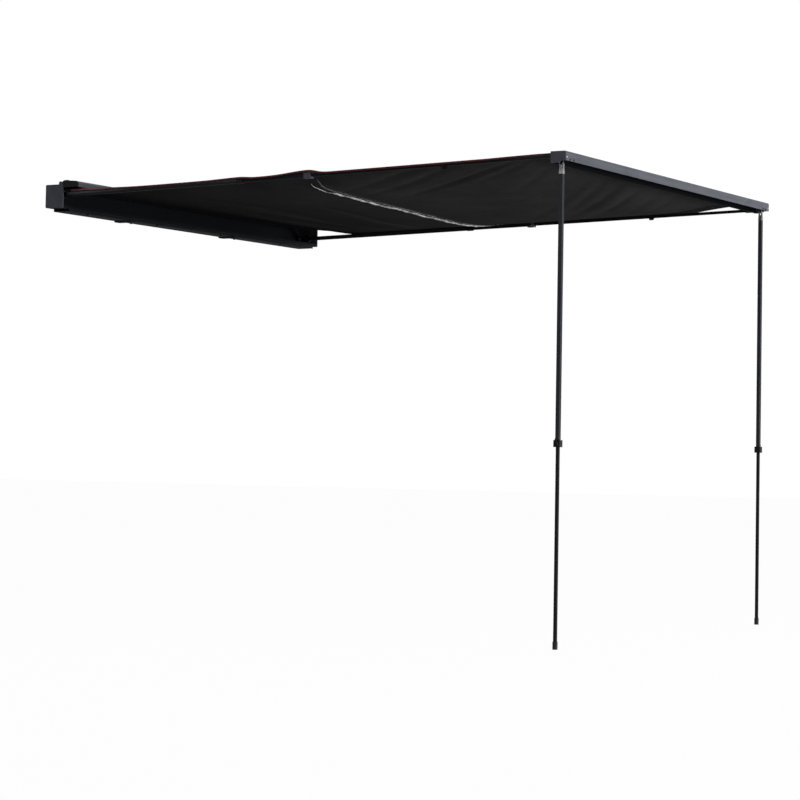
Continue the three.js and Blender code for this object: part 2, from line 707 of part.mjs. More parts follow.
// Moulded cap on each end of the rail, with a plug behind the front face
function makeRailCap(side) {
  const rearBottom = railBottom - railRearDrop;
  const outline = new THREE.Shape();
  outline.moveTo(railFront, railBottom);
  outline.lineTo(railFront + railDepth / 3, railBottom);
  outline.lineTo(railFront + railDepth / 2, rearBottom);
  outline.lineTo(railRear, rearBottom);
  outline.lineTo(railRear, railTop + seatGap);
  const corner = railRound * 2;
  outline.lineTo(railFront + corner, railTop + seatGap);
  outline.absarc(railFront + corner, railTop + seatGap - corner, corner, Math.PI / 2, Math.PI);
  const plate = alongX(outline, ...endSpan(side, 0, railCapThickness - seatGap), 4);
  const plugEnd = railCapThickness + railCapPlug;
  const plug = block(...endSpan(side, railCapThickness - seatGap - cutOverrun, plugEnd),
    railFront + railWall + fitGap, railRear - railWall / 2 - kederBoss - fitGap,
    railBottom, railTop - railWall - fitGap);
  const hollow = block(...endSpan(side, railCapThickness + railCapWall, plugEnd + cutOverrun),
    railFront + railWall + fitGap + railCapWall * 2, railRear,
    railBottom - cutOverrun, railTop - railWall - fitGap - railCapWall);
  add(`rail_cap_${sideNames.get(side)}`, join(plate, cut(plug, hollow)), darkPlastic);
}

// Socket on the rear of the rail: a cradle open to the case and to the inside, so the arm can swing out
function makeSocket(side) {
  const pivotHeight = side < 0 ? nearPivotHeight : nearPivotHeight - armStack;
  const tipHeight = pivotHeight + (pivotY - railRear) * Math.tan(armTilt);
  const halfRoom = innerTube / 2 + fitGap;
  const halfSize = halfRoom + socketWall;
  const outerX = side * (armPlace + halfSize);
  const innerX = side * (armPlace - halfSize);
  const body = block(Math.min(innerX, outerX), Math.max(innerX, outerX),
    railRear + seatGap, railRear + socketReach, tipHeight - halfSize - seatGap, tipHeight + halfSize);
  const roomStart = side > 0 ? -halfSize * 3 : -halfRoom;
  const roomEnd = side > 0 ? halfRoom : halfSize * 3;
  const room = block(roomStart, roomEnd, -armLength - fitGap * 2, -armLength + socketReach * 2,
    -halfRoom, halfRoom);
  room.rotateX(-armTilt);
  room.translate(side * armPlace, pivotY, pivotHeight);
  add(`arm_socket_${sideNames.get(side)}`, cut(body, room), blackPlastic);
}

const laneY = (side) => railFront + (side < 0 ? nearLane : farLane);

// Bracket inside the rail: a top plate and a flange on the front wall, with a tongue down to the leg's pin
function makeLegBracket(side) {
  const centre = side * legPlace;
  const y = laneY(side);
  const topFace = railTop - railWall - seatGap;
  const frontFace = railFront + railWall + seatGap;
  const plate = block(centre - legBracketLength / 2, centre + legBracketLength / 2,
    frontFace, railRear - railWall / 2 - kederBoss - seatGap, topFace - legBracketTop, topFace);
  const flange = block(centre - legBracketLength / 2, centre + legBracketLength / 2,
    frontFace, frontFace + legBracketFlange, railBottom + seatGap, topFace);
  const tongueShape = new THREE.Shape();
  tongueShape.moveTo(centre + tongueHead, topFace - legBracketTop / 2);
  tongueShape.lineTo(centre - tongueHead, topFace - legBracketTop / 2);
  tongueShape.lineTo(centre - tongueHead, legPivotHeight);
  tongueShape.absarc(centre, legPivotHeight, tongueHead, Math.PI, Math.PI * 2);
  const tongue = alongY(tongueShape, y - tonguePlate / 2, y + tonguePlate / 2, 5);
  const hole = rod(legPin + fitGap * 2, -tonguePlate, tonguePlate, 12)
    .rotateX(Math.PI / 2).translate(centre, y, legPivotHeight);
  add(`leg_bracket_${sideNames.get(side)}`, cut(join(plate, flange, tongue), hole), blackPlastic);
}

function makeLegPin(side) {
  const seat = tonguePlate / 2 + fitGap + forkEar + seatGap;
  const shank = rod(legPin, -seat - legPinHeadHeight / 2, seat + legPinHeadHeight / 2, 12);
  const head = rod(legPinHead, seat, seat + legPinHeadHeight, 12);
  const tail = rod(legPinHead, -seat - legPinHeadHeight, -seat, 12);
  const pin = join(shank, head, tail).rotateX(Math.PI / 2);
  add(`leg_pin_${sideNames.get(side)}`, pin.translate(side * legPlace, laneY(side), legPivotHeight), steel);
}

// Fork: two tapered ears round the tongue, on a block that plugs the leg's upper tube
function makeLegFork(side) {
  const centre = side * legPlace;
  const y = laneY(side);
  const halfWidth = tonguePlate / 2 + fitGap + forkEar;
  const earShape = new THREE.Shape();
  earShape.moveTo(centre - legTube / 2, legPivotHeight - forkDrop + seatGap);
  earShape.lineTo(centre + legTube / 2, legPivotHeight - forkDrop + seatGap);
  earShape.lineTo(centre + forkNeck / 2, legPivotHeight - forkNeckDrop);
  earShape.lineTo(centre + forkHead, legPivotHeight);
  earShape.absarc(centre, legPivotHeight, forkHead, 0, Math.PI);
  earShape.lineTo(centre - forkNeck / 2, legPivotHeight - forkNeckDrop);
  const ears = alongY(earShape, y - halfWidth, y + halfWidth, 5);
  const halfSlot = tonguePlate / 2 + fitGap;
  const slot = block(centre - legTube, centre + legTube, y - halfSlot, y + halfSlot,
    legPivotHeight - forkCrotch, legPivotHeight + forkHead + cutOverrun);
  const plugSize = legTube - (legWall + fitGap) * 2;
  const plug = alongZ(roundedRect(plugSize, plugSize, tubeRound - legWall, centre, y),
    legPivotHeight - forkDrop - forkPlug, legPivotHeight - forkDrop + cutOverrun, 2);
  const hole = rod(legPin + fitGap * 2, -legTube, legTube, 12)
    .rotateX(Math.PI / 2).translate(centre, y, legPivotHeight);
  const rivet = rod(legPin, -forkEar, forkRivetHead, 12).rotateX(Math.PI / 2)
    .translate(centre, y - halfWidth, legPivotHeight - forkRivetDrop);
  add(`leg_fork_${sideNames.get(side)}`, join(cut(join(ears, plug), slot, hole), rivet), castMetal);
}

// Upper tube: a box section with a shallow groove down the middle of each face
function grooveSection(size, centreX, centreY) {
  const half = size / 2;
  const groove = legGroove / 2;
  const quarter = [
    [-groove, -half], [-groove, legGrooveDepth - half], [groove, legGrooveDepth - half], [groove, -half],
    [half - tubeRound, -half], [half - tubeRound / 3, tubeRound / 3 - half], [half, tubeRound - half],
  ];
  const points = [0, 1, 2, 3].flatMap((turn) => quarter.map(([a, b]) => {
    const corner = new THREE.Vector2(a, b).rotateAround(new THREE.Vector2(), turn * Math.PI / 2);
    return new THREE.Vector2(centreX + corner.x, centreY + corner.y);
  }));
  return new THREE.Shape(points);
}

function makeLegUpper(side) {
  const y = laneY(side);
  const section = grooveSection(legTube, side * legPlace, y);
  const bore = legTube - legWall * 2;
  section.holes.push(roundedRect(bore, bore, tubeRound - legWall, side * legPlace, y));
  const top = legPivotHeight - forkDrop;
  const tube = alongZ(section, legPivotHeight - legClampDrop, top, 2);
  add(`leg_upper_${sideNames.get(side)}`, tube, blackAluminium);
}

// Lock collar of a leg, with its lever on the outer side
function makeLegClamp(side) {
  const name = sideNames.get(side);
  const place = new THREE.Group();
  place.position.set(side * legPlace, laneY(side), legPivotHeight);
  place.rotation.x = Math.PI / 2;
  part.add(place);
  add(`leg_clamp_${name}`,
    lockCollar(legTube, legInnerTube, legClampDrop, clampSize, clampHeight, side), blackPlastic, place);
  add(`leg_lever_${name}`,
    lockLever(clampSize, legClampDrop, clampHeight, side, clampLeverLength), blackPlastic, place);
}

function makeLegLower(side) {
  const y = laneY(side);
  const section = roundedRect(legInnerTube, legInnerTube, tubeRound, side * legPlace, y);
  const bore = legInnerTube - legWall * 2;
  section.holes.push(roundedRect(bore, bore, tubeRound - legWall, side * legPlace, y));
  const top = legPivotHeight - legClampDrop + legOverlap;
  add(`leg_lower_${sideNames.get(side)}`, alongZ(section, -groundDepth + footSole, top, 2), blackAluminium);

  const capSection = roundedRect(footCap, footCap, footRound, side * legPlace, y);
  const cap = alongZ(capSection, -groundDepth, footCapHeight - groundDepth, 3);
  const room = legInnerTube + fitGap * 2;
  const pocket = block(side * legPlace - room / 2, side * legPlace + room / 2, y - room / 2, y + room / 2,
    footSole - groundDepth - seatGap, footCapHeight - groundDepth + cutOverrun);
  add(`leg_foot_${sideNames.get(side)}`, cut(cap, pocket), rubber);
}

// The cloth runs from the bead in the case's track to the slot on top of the rail
const canopyStart = trackY;
const canopyEnd = railKederY - kederTail / 2;
const canopyDepth = canopyStart - canopyEnd;
const canopyFrontHeight = railTop + seatGap + canopyThickness / 2;
const innerColumns = Array.from({ length: canopyAcross + 1 }, (_, step) => {
  const edge = canopyEdgeStrip / canopyWidth;
  return edge + (1 - edge * 2) * step / canopyAcross;
});
const hemColumn = canopyHemWidth / canopyWidth;
const canopyColumns = [0, hemColumn, ...innerColumns, 1 - hemColumn, 1];
const innerRows = Array.from({ length: canopyAlong + 1 }, (_, step) => {
  const level = canopyLevel / canopyDepth;
  return level + (1 - level * 2) * step / canopyAlong;
});
const canopyRows = [0, ...innerRows, 1];
const canopyFlat = armPlace - secondCollarSize / 2 - fitGap * 4;
const smooth = THREE.MathUtils.smoothstep;

function armTopHeight(side, y) {
  const out = pivotY - y;
  const pivotHeight = side < 0 ? nearPivotHeight : nearPivotHeight - armStack;
  const half = outerTube / 2
    - smooth(out, outerEnd, outerEnd + tubeStepLength) * (outerTube - midTube) / 2
    - smooth(out, midEnd, midEnd + tubeStepLength) * (midTube - innerTube) / 2;
  return pivotHeight + out * Math.tan(armTilt) + half;
}

// The cloth stands up a little where it passes over a collar
function pucker(y, place) {
  const offset = (pivotY - y - place) / puckerLength;
  return Math.exp(-offset * offset);
}

function edgeHeight(side, y, along) {
  const rest = armTopHeight(side, y) + canopyLift;
  const caseSide = 1 - smooth(along, 0, caseBlendShare);
  const railSide = smooth(along, railBlendShare, 1);
  return rest + (trackHeight - rest) * caseSide + (canopyFrontHeight - rest) * railSide;
}

function canopyPlace(across, along) {
  const held = 1 - smooth(along, 0, tuckShare) * (1 - smooth(along, railBlendShare, 1));
  const half = canopyWidth / 2 - endTuck * held;
  return [(across * 2 - 1) * half, canopyStart - canopyDepth * along];
}

// Ridge lines of the main folds, seen from above
const foldLines = foldLineShares.map(([acrossStart, alongStart, acrossEnd, alongEnd]) => new THREE.Line3(
  new THREE.Vector3((acrossStart - 1 / 2) * canopyWidth, canopyStart - canopyDepth * alongStart, 0),
  new THREE.Vector3((acrossEnd - 1 / 2) * canopyWidth, canopyStart - canopyDepth * alongEnd, 0)));

// How far the nearest fold lifts the cloth
function foldHeight(x, y) {
  const place = new THREE.Vector3(x, y, 0);
  const distances = foldLines.map((line) =>
    line.closestPointToPoint(place, true, new THREE.Vector3()).distanceTo(place));
  return foldRise * Math.exp(-((Math.min(...distances) / foldSpread) ** 2));
}

// Height of the middle of the cloth: flat over the arms, sagging between them, with its main folds
function canopyHeight(x, y) {
  const along = THREE.MathUtils.clamp(
    (canopyStart - canopyLevel - y) / (canopyDepth - canopyLevel * 2), 0, 1);
  const across = THREE.MathUtils.clamp(x / (armPlace * 2) + 1 / 2, 0, 1);
  const near = edgeHeight(-1, y, along);
  const far = edgeHeight(1, y, along);
  const [freeStart, freeEnd] = freeShares;
  const free = smooth(along, 0, freeStart) * (1 - smooth(along, freeEnd, 1));
  const inward = 1 - Math.min(1, Math.abs(x) / canopyFlat) ** sagPower;
  const sag = canopySag * inward * Math.sin(Math.PI * along);
  const fold = foldHeight(x, y) * inward * free;
  const raised = firstPucker * pucker(y, outerEnd) + secondPucker * pucker(y, midEnd);
  const atArm = smooth(Math.abs(x), canopyFlat - puckerLength, canopyFlat);
  const hem = canopyHem * smooth(Math.abs(x), canopyWidth / 2 - canopyHemWidth, canopyWidth / 2) * free;
  return near + (far - near) * across + raised * atArm - sag + fold - hem;
}

// Makes a closed sheet of one thickness from a function of two shares
function sheet(steps, rows, thickness, place, height) {
  const lastRow = rows.length - 1;
  const positions = [];
  for (const layer of [1, -1]) {
    for (const along of rows) {
      for (const across of steps) {
        const [x, y] = place(across, along);
        positions.push(x, y, height(x, y) + layer * thickness / 2);
      }
    }
  }
  const columns = steps.length;
  const layerSize = columns * rows.length;
  const index = [];
  const quad = (a, b, c, d) => index.push(a, b, c, a, c, d);
  for (let row = 0; row < lastRow; row += 1) {
    for (let column = 0; column < columns - 1; column += 1) {
      const a = row * columns + column;
      quad(a, a + columns, a + columns + 1, a + 1);
      quad(layerSize + a, layerSize + a + 1, layerSize + a + columns + 1, layerSize + a + columns);
    }
  }
  for (let column = 0; column < columns - 1; column += 1) {
    const last = lastRow * columns + column;
    quad(column, column + 1, layerSize + column + 1, layerSize + column);
    quad(last, layerSize + last, layerSize + last + 1, last + 1);
  }
  for (let row = 0; row < lastRow; row += 1) {
    const left = row * columns;
    const right = left + columns - 1;
    quad(left, layerSize + left, layerSize + left + columns, left + columns);
    quad(right, right + columns, layerSize + right + columns, layerSize + right);
  }
  const geometry = new THREE.BufferGeometry();
  geometry.setAttribute('position', new THREE.Float32BufferAttribute(positions, 3));
  geometry.setIndex(index);
  geometry.computeVertexNormals();
  return geometry;
}

// Canopy with the round beads that are sewn into its long hems
function makeCanopy() {
  const cloth = sheet(canopyColumns, canopyRows, canopyThickness, canopyPlace, canopyHeight);
  const bead = rod(kederRod, -kederLength / 2, kederLength / 2, 10).rotateY(Math.PI / 2);
  const riser = block(-kederLength / 2, kederLength / 2,
    railKederY - kederTail / 2, railKederY + kederTail / 2, railKederZ, canopyFrontHeight);
  add('canopy', join(cloth, bead.clone().translate(0, trackY, trackHeight),
    bead.clone().translate(0, railKederY, railKederZ), riser), canvas);
}

// Height of the cloth between two rows of its facets
function facetHeight(x, y) {
  const share = (canopyStart - y) / canopyDepth;
  const row = canopyRows.findIndex((place) => place >= share);
  const [before, after] = [canopyRows[row - 1], canopyRows[row]];
  const mix = (share - before) / (after - before);
  const heightAt = (place) => canopyHeight(x, canopyStart - canopyDepth * place);
  return heightAt(before) * (1 - mix) + heightAt(after) * mix;
}

// The band hangs close under the cloth and runs at a slant from arm to arm
function makeCrossBand() {
  const place = (across, along) => {
    const out = bandNearOut + (bandFarOut - bandNearOut) * across;
    return [(across - 1 / 2) * canopyWidth, caseFront - out - bandWidth * along];
  };
  const height = (x, y) => facetHeight(x, y) - canopyThickness / 2 - bandGap - bandThickness / 2;
  add('cross_band', sheet(innerColumns, [0, 1 / 2, 1], bandThickness, place, height), webbing);
}

makeBaseTrack();
makeCaseChannel();
makeLid();
makeBracket('rear', barPlaces[0]);
makeBracket('front', barPlaces[1]);
makeBolts();
makeRail();
for (const side of [-1, 1]) {
  makeEndCap(side);
  makeLidCap(side);
  makeArm(side);
  makeRailCap(side);
  makeSocket(side);
  makeLegBracket(side);
  makeLegPin(side);
  makeLegFork(side);
  makeLegUpper(side);
  makeLegClamp(side);
  makeLegLower(side);
}
makeCanopy();
makeCrossBand();

export default part;
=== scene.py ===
"""Looks of a vehicle side awning: its finishes, canopy, sewn trim, small fasteners and studio."""

import json
import math

import bmesh
import bpy
import numpy as np
from bpy.props import FloatProperty, FloatVectorProperty, PointerProperty
from mathutils import Matrix, Vector


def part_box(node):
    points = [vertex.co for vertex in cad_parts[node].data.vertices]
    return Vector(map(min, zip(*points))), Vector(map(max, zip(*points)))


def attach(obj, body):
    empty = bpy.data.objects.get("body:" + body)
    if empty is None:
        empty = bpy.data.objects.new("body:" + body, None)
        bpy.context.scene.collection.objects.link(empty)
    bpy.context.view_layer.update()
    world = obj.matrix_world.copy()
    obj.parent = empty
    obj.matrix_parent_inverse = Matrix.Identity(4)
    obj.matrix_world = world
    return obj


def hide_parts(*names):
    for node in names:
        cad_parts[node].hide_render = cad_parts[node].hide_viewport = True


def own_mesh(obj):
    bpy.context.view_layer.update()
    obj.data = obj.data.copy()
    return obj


bl_info = {
    "name": "Side awning",
    "version": (1, 0, 0),
    "blender": (4, 5, 0),
    "location": "3D View > Sidebar > Awning",
    "description": "Dresses the frame of a vehicle side awning with cloth, finishes and small fasteners",
    "category": "Object",
}

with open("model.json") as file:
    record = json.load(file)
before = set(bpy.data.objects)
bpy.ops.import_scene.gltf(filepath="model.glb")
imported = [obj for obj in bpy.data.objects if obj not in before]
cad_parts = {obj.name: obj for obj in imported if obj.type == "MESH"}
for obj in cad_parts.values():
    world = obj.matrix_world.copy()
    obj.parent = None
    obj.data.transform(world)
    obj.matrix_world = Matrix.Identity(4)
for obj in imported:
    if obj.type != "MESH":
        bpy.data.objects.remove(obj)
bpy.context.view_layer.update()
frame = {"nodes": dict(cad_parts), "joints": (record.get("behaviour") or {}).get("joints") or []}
nodes = frame["nodes"]
joints = {joint["name"]: joint for joint in frame["joints"]}
MM = 0.001


# Measures taken from the frame

def centre_of(name):
    low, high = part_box(name)
    return (Vector(low) + Vector(high)) / 2


def width_of(name):
    low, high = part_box(name)
    return high[0] - low[0]


SLIDE_AXIS = Vector(joints["rail_slide"]["axis"])
ARM_RISE = -SLIDE_AXIS.z / SLIDE_AXIS.y
CASE_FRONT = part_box("case_channel")[0][1]
RAIL_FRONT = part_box("lead_rail")[0][1]
RAIL_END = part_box("lead_rail")[1][0]
RAIL_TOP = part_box("lead_rail")[1][2]
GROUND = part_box("leg_foot_near")[0][2]
SIDES = {-1: "near", 1: "far"}
ARM_PIVOTS = {side: centre_of(f"pivot_bolt_{name}") for side, name in SIDES.items()}
TUBE_HALVES = [width_of(f"arm_{tube}_near") / 2 for tube in ("outer", "mid", "inner")]

# Distances outward from the pivot at which the two lock collars sit
COLLAR_PLACES = [
    ARM_PIVOTS[-1].y - centre_of(f"arm_collar_{rank}_near").y for rank in ("first", "second")]


# Sizes and colours that a user would change

class AwningClothSettings(bpy.types.PropertyGroup):
    """Cut and hang of the canopy"""

    width: FloatProperty(name="Width", description="Width of the cloth", default=2.008, unit="LENGTH")
    thickness: FloatProperty(
        name="Thickness", description="Thickness of the cloth", default=0.9 * MM, unit="LENGTH")
    hem: FloatProperty(
        name="Hem", description="Width of the folded side hems", default=0.036, unit="LENGTH")
    sag: FloatProperty(
        name="Sag", description="How far the middle hangs below the arms", default=0.05, unit="LENGTH")
    fold: FloatProperty(
        name="Fold height", description="Height of the loose folds", default=1.6 * MM, unit="LENGTH")
    fold_rise: FloatProperty(
        name="Crease height", description="Height of the folds that are drawn tight", default=5.6 * MM,
        unit="LENGTH")
    fold_width: FloatProperty(
        name="Crease width", description="Half-width of the folds that are drawn tight", default=0.024,
        unit="LENGTH")
    cell: FloatProperty(
        name="Mesh cell", description="Size of one cell of the cloth mesh", default=0.0101, unit="LENGTH")


class AwningBandSettings(bpy.types.PropertyGroup):
    """Band sewn across the underside of the canopy"""

    near_out: FloatProperty(
        name="Near end", description="Distance of the band from the case at the near arm",
        default=1.222, unit="LENGTH")
    far_out: FloatProperty(
        name="Far end", description="Distance of the band from the case at the far arm",
        default=1.03, unit="LENGTH")
    width: FloatProperty(name="Width", description="Width of the band", default=0.06, unit="LENGTH")

    def inner_edge(self, x, cloth_width):
        """Distance of the band's inner edge from the case, along a line that bows between the arms"""
        share = np.clip(x / cloth_width + 0.5, 0.0, 1.0)
        pulled = BAND_PULL * np.exp(-(share / BAND_PULL_SHARE) ** 2)
        pulled = pulled - BAND_SWELL * smoothstep(share, *BAND_SWELL_SHARES)
        return self.near_out + (self.far_out - self.near_out) * share - pulled


class AwningFinishSettings(bpy.types.PropertyGroup):
    """Colours of the awning's materials"""

    grey: FloatVectorProperty(
        name="Grey aluminium", description="Anodised colour of case, lid and rail",
        default=(0.072, 0.076, 0.088), subtype="COLOR")
    black: FloatVectorProperty(
        name="Black aluminium", description="Anodised colour of tubes and base",
        default=(0.016, 0.017, 0.02), subtype="COLOR")
    lower_leg: FloatVectorProperty(
        name="Lower leg", description="Anodised colour of the legs' lower tubes",
        default=(0.0125, 0.0125, 0.0127), subtype="COLOR")
    cap: FloatVectorProperty(
        name="Dark plastic", description="Colour of the moulded end caps",
        default=(0.048, 0.051, 0.063), subtype="COLOR")
    plastic: FloatVectorProperty(
        name="Black plastic", description="Colour of collars, levers and small mouldings",
        default=(0.006, 0.006, 0.0065), subtype="COLOR")
    under: FloatVectorProperty(
        name="Cloth underside", description="Colour of the canopy seen from below",
        default=(0.0325, 0.0325, 0.033), subtype="COLOR")
    upper: FloatVectorProperty(
        name="Cloth top", description="Colour of the canopy seen from above",
        default=(0.06, 0.011, 0.014), subtype="COLOR")
    # Painted light: the hems' loose ends beside the case get a lit copy of the top's colour
    painted_light_hem: FloatVectorProperty(
        name="Selvedge", description="Colour of the hem's raw edge beside the case",
        default=(0.2, 0.085, 0.095), subtype="COLOR")


class AwningStageSettings(bpy.types.PropertyGroup):
    """Studio round the awning"""

    floor: FloatVectorProperty(
        name="Floor", description="Colour of the studio floor", default=(0.5, 0.5, 0.5), subtype="COLOR")
    world: FloatProperty(name="World", description="Strength of the even light", default=0.4)
    key: FloatProperty(name="Key", description="Power of the main lamp", default=340.0, unit="POWER")
    fill: FloatProperty(name="Fill", description="Power of the second lamp", default=50.0, unit="POWER")
    low: FloatProperty(
        name="Low", description="Power of the lamp that rakes the underside", default=800.0, unit="POWER")
    camera_place: FloatVectorProperty(
        name="Camera place", description="Where the camera stands",
        default=(-9.3154, -6.6404, -1.0429), subtype="TRANSLATION", unit="LENGTH")
    azimuth: FloatProperty(
        name="Azimuth", description="Turn of the camera about the vertical",
        default=math.radians(-59.4238), subtype="ANGLE")
    elevation: FloatProperty(
        name="Elevation", description="Height angle that the camera looks from",
        default=math.radians(-2.873), subtype="ANGLE")
    roll: FloatProperty(
        name="Roll", description="Turn of the picture", default=math.radians(1.0074), subtype="ANGLE")
    lens: FloatProperty(name="Lens", description="Focal length in millimetres", default=109.83)
    shift_x: FloatProperty(
        name="Shift X", description="Sideways shift of the picture in widths", default=0.00045)
    shift_y: FloatProperty(
        name="Shift Y", description="Upward shift of the picture in widths", default=-0.0805)


# Material helpers

def set_inputs(tree, target, inputs):
    """Links sockets to a shader node's inputs and sets plain values"""
    for key, value in inputs.items():
        if isinstance(value, bpy.types.NodeSocket):
            tree.links.new(value, target.inputs[key])
        else:
            target.inputs[key].default_value = value


def add_node(tree, kind, inputs=None, **settings):
    """Adds a shader node, sets its fields, and links or sets its inputs"""
    made = tree.nodes.new(kind)
    for key, value in settings.items():
        setattr(made, key, value)
    set_inputs(tree, made, inputs or {})
    return made


def new_material(name):
    material = bpy.data.materials.new(name)
    material.use_nodes = True
    tree = material.node_tree
    return material, tree, tree.nodes["Principled BSDF"]


def object_coords(tree, scale=(1, 1, 1)):
    source = add_node(tree, "ShaderNodeTexCoord").outputs["Object"]
    return add_node(tree, "ShaderNodeMapping", {"Vector": source, "Scale": scale}).outputs["Vector"]


def uv_coords(tree, scale=(1, 1, 1)):
    source = add_node(tree, "ShaderNodeUVMap", uv_map="flat").outputs["UV"]
    return add_node(tree, "ShaderNodeMapping", {"Vector": source, "Scale": scale}).outputs["Vector"]


def parts_of(tree, coords):
    """The X, Y and Z of a point"""
    return add_node(tree, "ShaderNodeSeparateXYZ", {"Vector": coords}).outputs


def noise(tree, coords, scale, detail=4.0, roughness=0.55):
    return add_node(tree, "ShaderNodeTexNoise", {
        "Vector": coords, "Scale": scale, "Detail": detail, "Roughness": roughness}).outputs["Fac"]


def spread(tree, value, low, high, start=0.0, end=1.0):
    """Maps a stretch of a pattern's values onto another"""
    inputs = {"Value": value, "From Min": low, "From Max": high, "To Min": start, "To Max": end}
    return add_node(tree, "ShaderNodeMapRange", inputs).outputs["Result"]


def combine(tree, kind, first, second):
    return add_node(tree, "ShaderNodeMath", {0: first, 1: second}, operation=kind).outputs["Value"]


def opaque(colour):
    """A plain colour with its alpha, or a socket as it is"""
    return colour if isinstance(colour, bpy.types.NodeSocket) else (*colour, 1.0)


def blend_colours(tree, share, first, second):
    inputs = {0: share, 6: opaque(first), 7: opaque(second)}
    return add_node(tree, "ShaderNodeMix", inputs, data_type="RGBA").outputs[2]


def shade(colour, factor):
    return tuple(channel * factor for channel in colour)


def mottled(tree, pattern, colour, dark, light, low=0.3, high=0.7):
    """A colour that a pattern moves between a darker and a lighter shade"""
    return blend_colours(tree, spread(tree, pattern, low, high), shade(colour, dark), shade(colour, light))


def bump(tree, height, strength, distance, normal=None):
    inputs = {"Height": height, "Strength": strength, "Distance": distance}
    if normal is not None:
        inputs["Normal"] = normal
    return add_node(tree, "ShaderNodeBump", inputs).outputs["Normal"]


def mix_shaders(tree, share, first, second, output):
    """Mixes two shaders into one of the tree's outputs"""
    mixed = add_node(tree, "ShaderNodeMixShader", {0: share, 1: first, 2: second})
    tree.links.new(mixed.outputs["Shader"], tree.nodes[output].inputs["Surface"])


def worn_edges(tree, radius):
    """Share of wear: where the surface turns within the radius"""
    bevelled = add_node(tree, "ShaderNodeBevel", {"Radius": radius}, samples=4).outputs["Normal"]
    plain = add_node(tree, "ShaderNodeNewGeometry").outputs["Normal"]
    dot = add_node(tree, "ShaderNodeVectorMath", {0: bevelled, 1: plain}, operation="DOT_PRODUCT")
    turn = combine(tree, "SUBTRACT", 1.0, dot.outputs["Value"])
    patchy = noise(tree, object_coords(tree), 160.0, 3.0)
    return combine(tree, "MULTIPLY", spread(tree, turn, 0.01, 0.2), spread(tree, patchy, 0.35, 0.65))


def within(tree, low, high):
    """Share that is 1 inside a box of the object's space"""
    place = parts_of(tree, object_coords(tree))
    share = 1.0
    for axis, start, end in zip("XYZ", low, high):
        above = combine(tree, "GREATER_THAN", place[axis], start)
        below = combine(tree, "LESS_THAN", place[axis], end)
        share = combine(tree, "MULTIPLY", share, combine(tree, "MULTIPLY", above, below))
    return share


def painted_highlight_line(tree, height, slope):
    """Share of painted highlight above a line that rises along Y, on the top of a tube's sides where light
    falls, in patches
    """
    place = parts_of(tree, object_coords(tree))
    over = combine(tree, "ADD", place["Z"], combine(tree, "MULTIPLY", place["Y"], slope))
    patchy = noise(tree, object_coords(tree, (30.0, 6.0, 30.0)), 1.0, 3.0)
    above = spread(tree, over, height - MM, height + MM)
    return combine(tree, "MULTIPLY", above, spread(tree, patchy, 0.3, 0.6, 0.35, 1.0))


# Materials

# Length of one wave of the wave texture at scale 1, and height up to which a foot is dusty
WAVE_LENGTH = 0.314
DUST_HEIGHT = 0.02


def anodised(name, colour, roughness, run, gloss=0.15, metal=0.35, painted_shade_box=None, painted_shade_share=0.1,
             top_highlight=None):
    """Extruded and anodised aluminium, with die lines along the run of the profile"""
    material, tree, surface = new_material(name)
    across = [1.2 if axis == run else 210.0 for axis in "XYZ"]
    lines = noise(tree, object_coords(tree, across), 1.0, 3.0)
    mottle = noise(tree, object_coords(tree), 7.0, 5.0)
    fine = noise(tree, object_coords(tree), 900.0, 2.0)
    shaded = mottled(tree, mottle, colour, 0.84, 1.14)
    lined = blend_colours(tree, spread(tree, lines, 0.35, 0.75, 0.0, 0.35), shaded, shade(colour, 1.5))
    wear_and_painted_light = blend_colours(tree, worn_edges(tree, 0.9 * MM), lined, shade(colour, 1.8))
    # Painted highlight: the top of the tube's sides is lightened where light falls on it
    if top_highlight is not None:
        wear_and_painted_light = blend_colours(tree, painted_highlight_line(tree, *top_highlight), wear_and_painted_light, shade(colour, 5.0))
    # Painted shade: inside the box the colour is darkened, as the profile's walls shade it
    if painted_shade_box is not None:
        wear_and_painted_light = blend_colours(tree, within(tree, *painted_shade_box), wear_and_painted_light, shade(colour, painted_shade_share))
    grain = bump(tree, fine, 0.08, 0.0002)
    set_inputs(tree, surface, {
        "Base Color": wear_and_painted_light,
        "Metallic": metal,
        "Specular IOR Level": gloss,
        "Roughness": spread(tree, lines, 0.3, 0.7, roughness - 0.06, roughness + 0.08),
        "Normal": bump(tree, lines, 0.1, 0.0003, grain),
    })
    return material


def moulded(name, colour, roughness):
    """Injection-moulded plastic with an even spark-eroded grain and edges lightened by wear"""
    material, tree, surface = new_material(name)
    grain = add_node(tree, "ShaderNodeTexVoronoi", {
        "Vector": object_coords(tree), "Scale": 850.0}, feature="SMOOTH_F1").outputs["Distance"]
    flow = noise(tree, object_coords(tree), 22.0, 4.0)
    shaded = mottled(tree, flow, colour, 0.86, 1.16)
    set_inputs(tree, surface, {
        "Base Color": blend_colours(tree, worn_edges(tree, 1.2 * MM), shaded, shade(colour, 1.9)),
        "Specular IOR Level": 0.1,
        "Roughness": spread(tree, flow, 0.3, 0.7, roughness - 0.05, roughness + 0.07),
        "Normal": bump(tree, grain, 0.22, 0.0003),
    })
    return material


def cast(name, colour):
    """Die-cast metal, tumbled: a soft sparkle, a mottled tone and edges lightened by wear"""
    material, tree, surface = new_material(name)
    pits = noise(tree, object_coords(tree), 420.0, 6.0, 0.7)
    cloud = noise(tree, object_coords(tree), 60.0, 3.0)
    shaded = mottled(tree, cloud, colour, 0.8, 1.15)
    set_inputs(tree, surface, {
        "Base Color": blend_colours(tree, worn_edges(tree, 0.8 * MM), shaded, shade(colour, 1.5)),
        "Metallic": 0.85,
        "Roughness": spread(tree, pits, 0.3, 0.7, 0.32, 0.52),
        "Normal": bump(tree, pits, 0.3, 0.0003),
    })
    return material


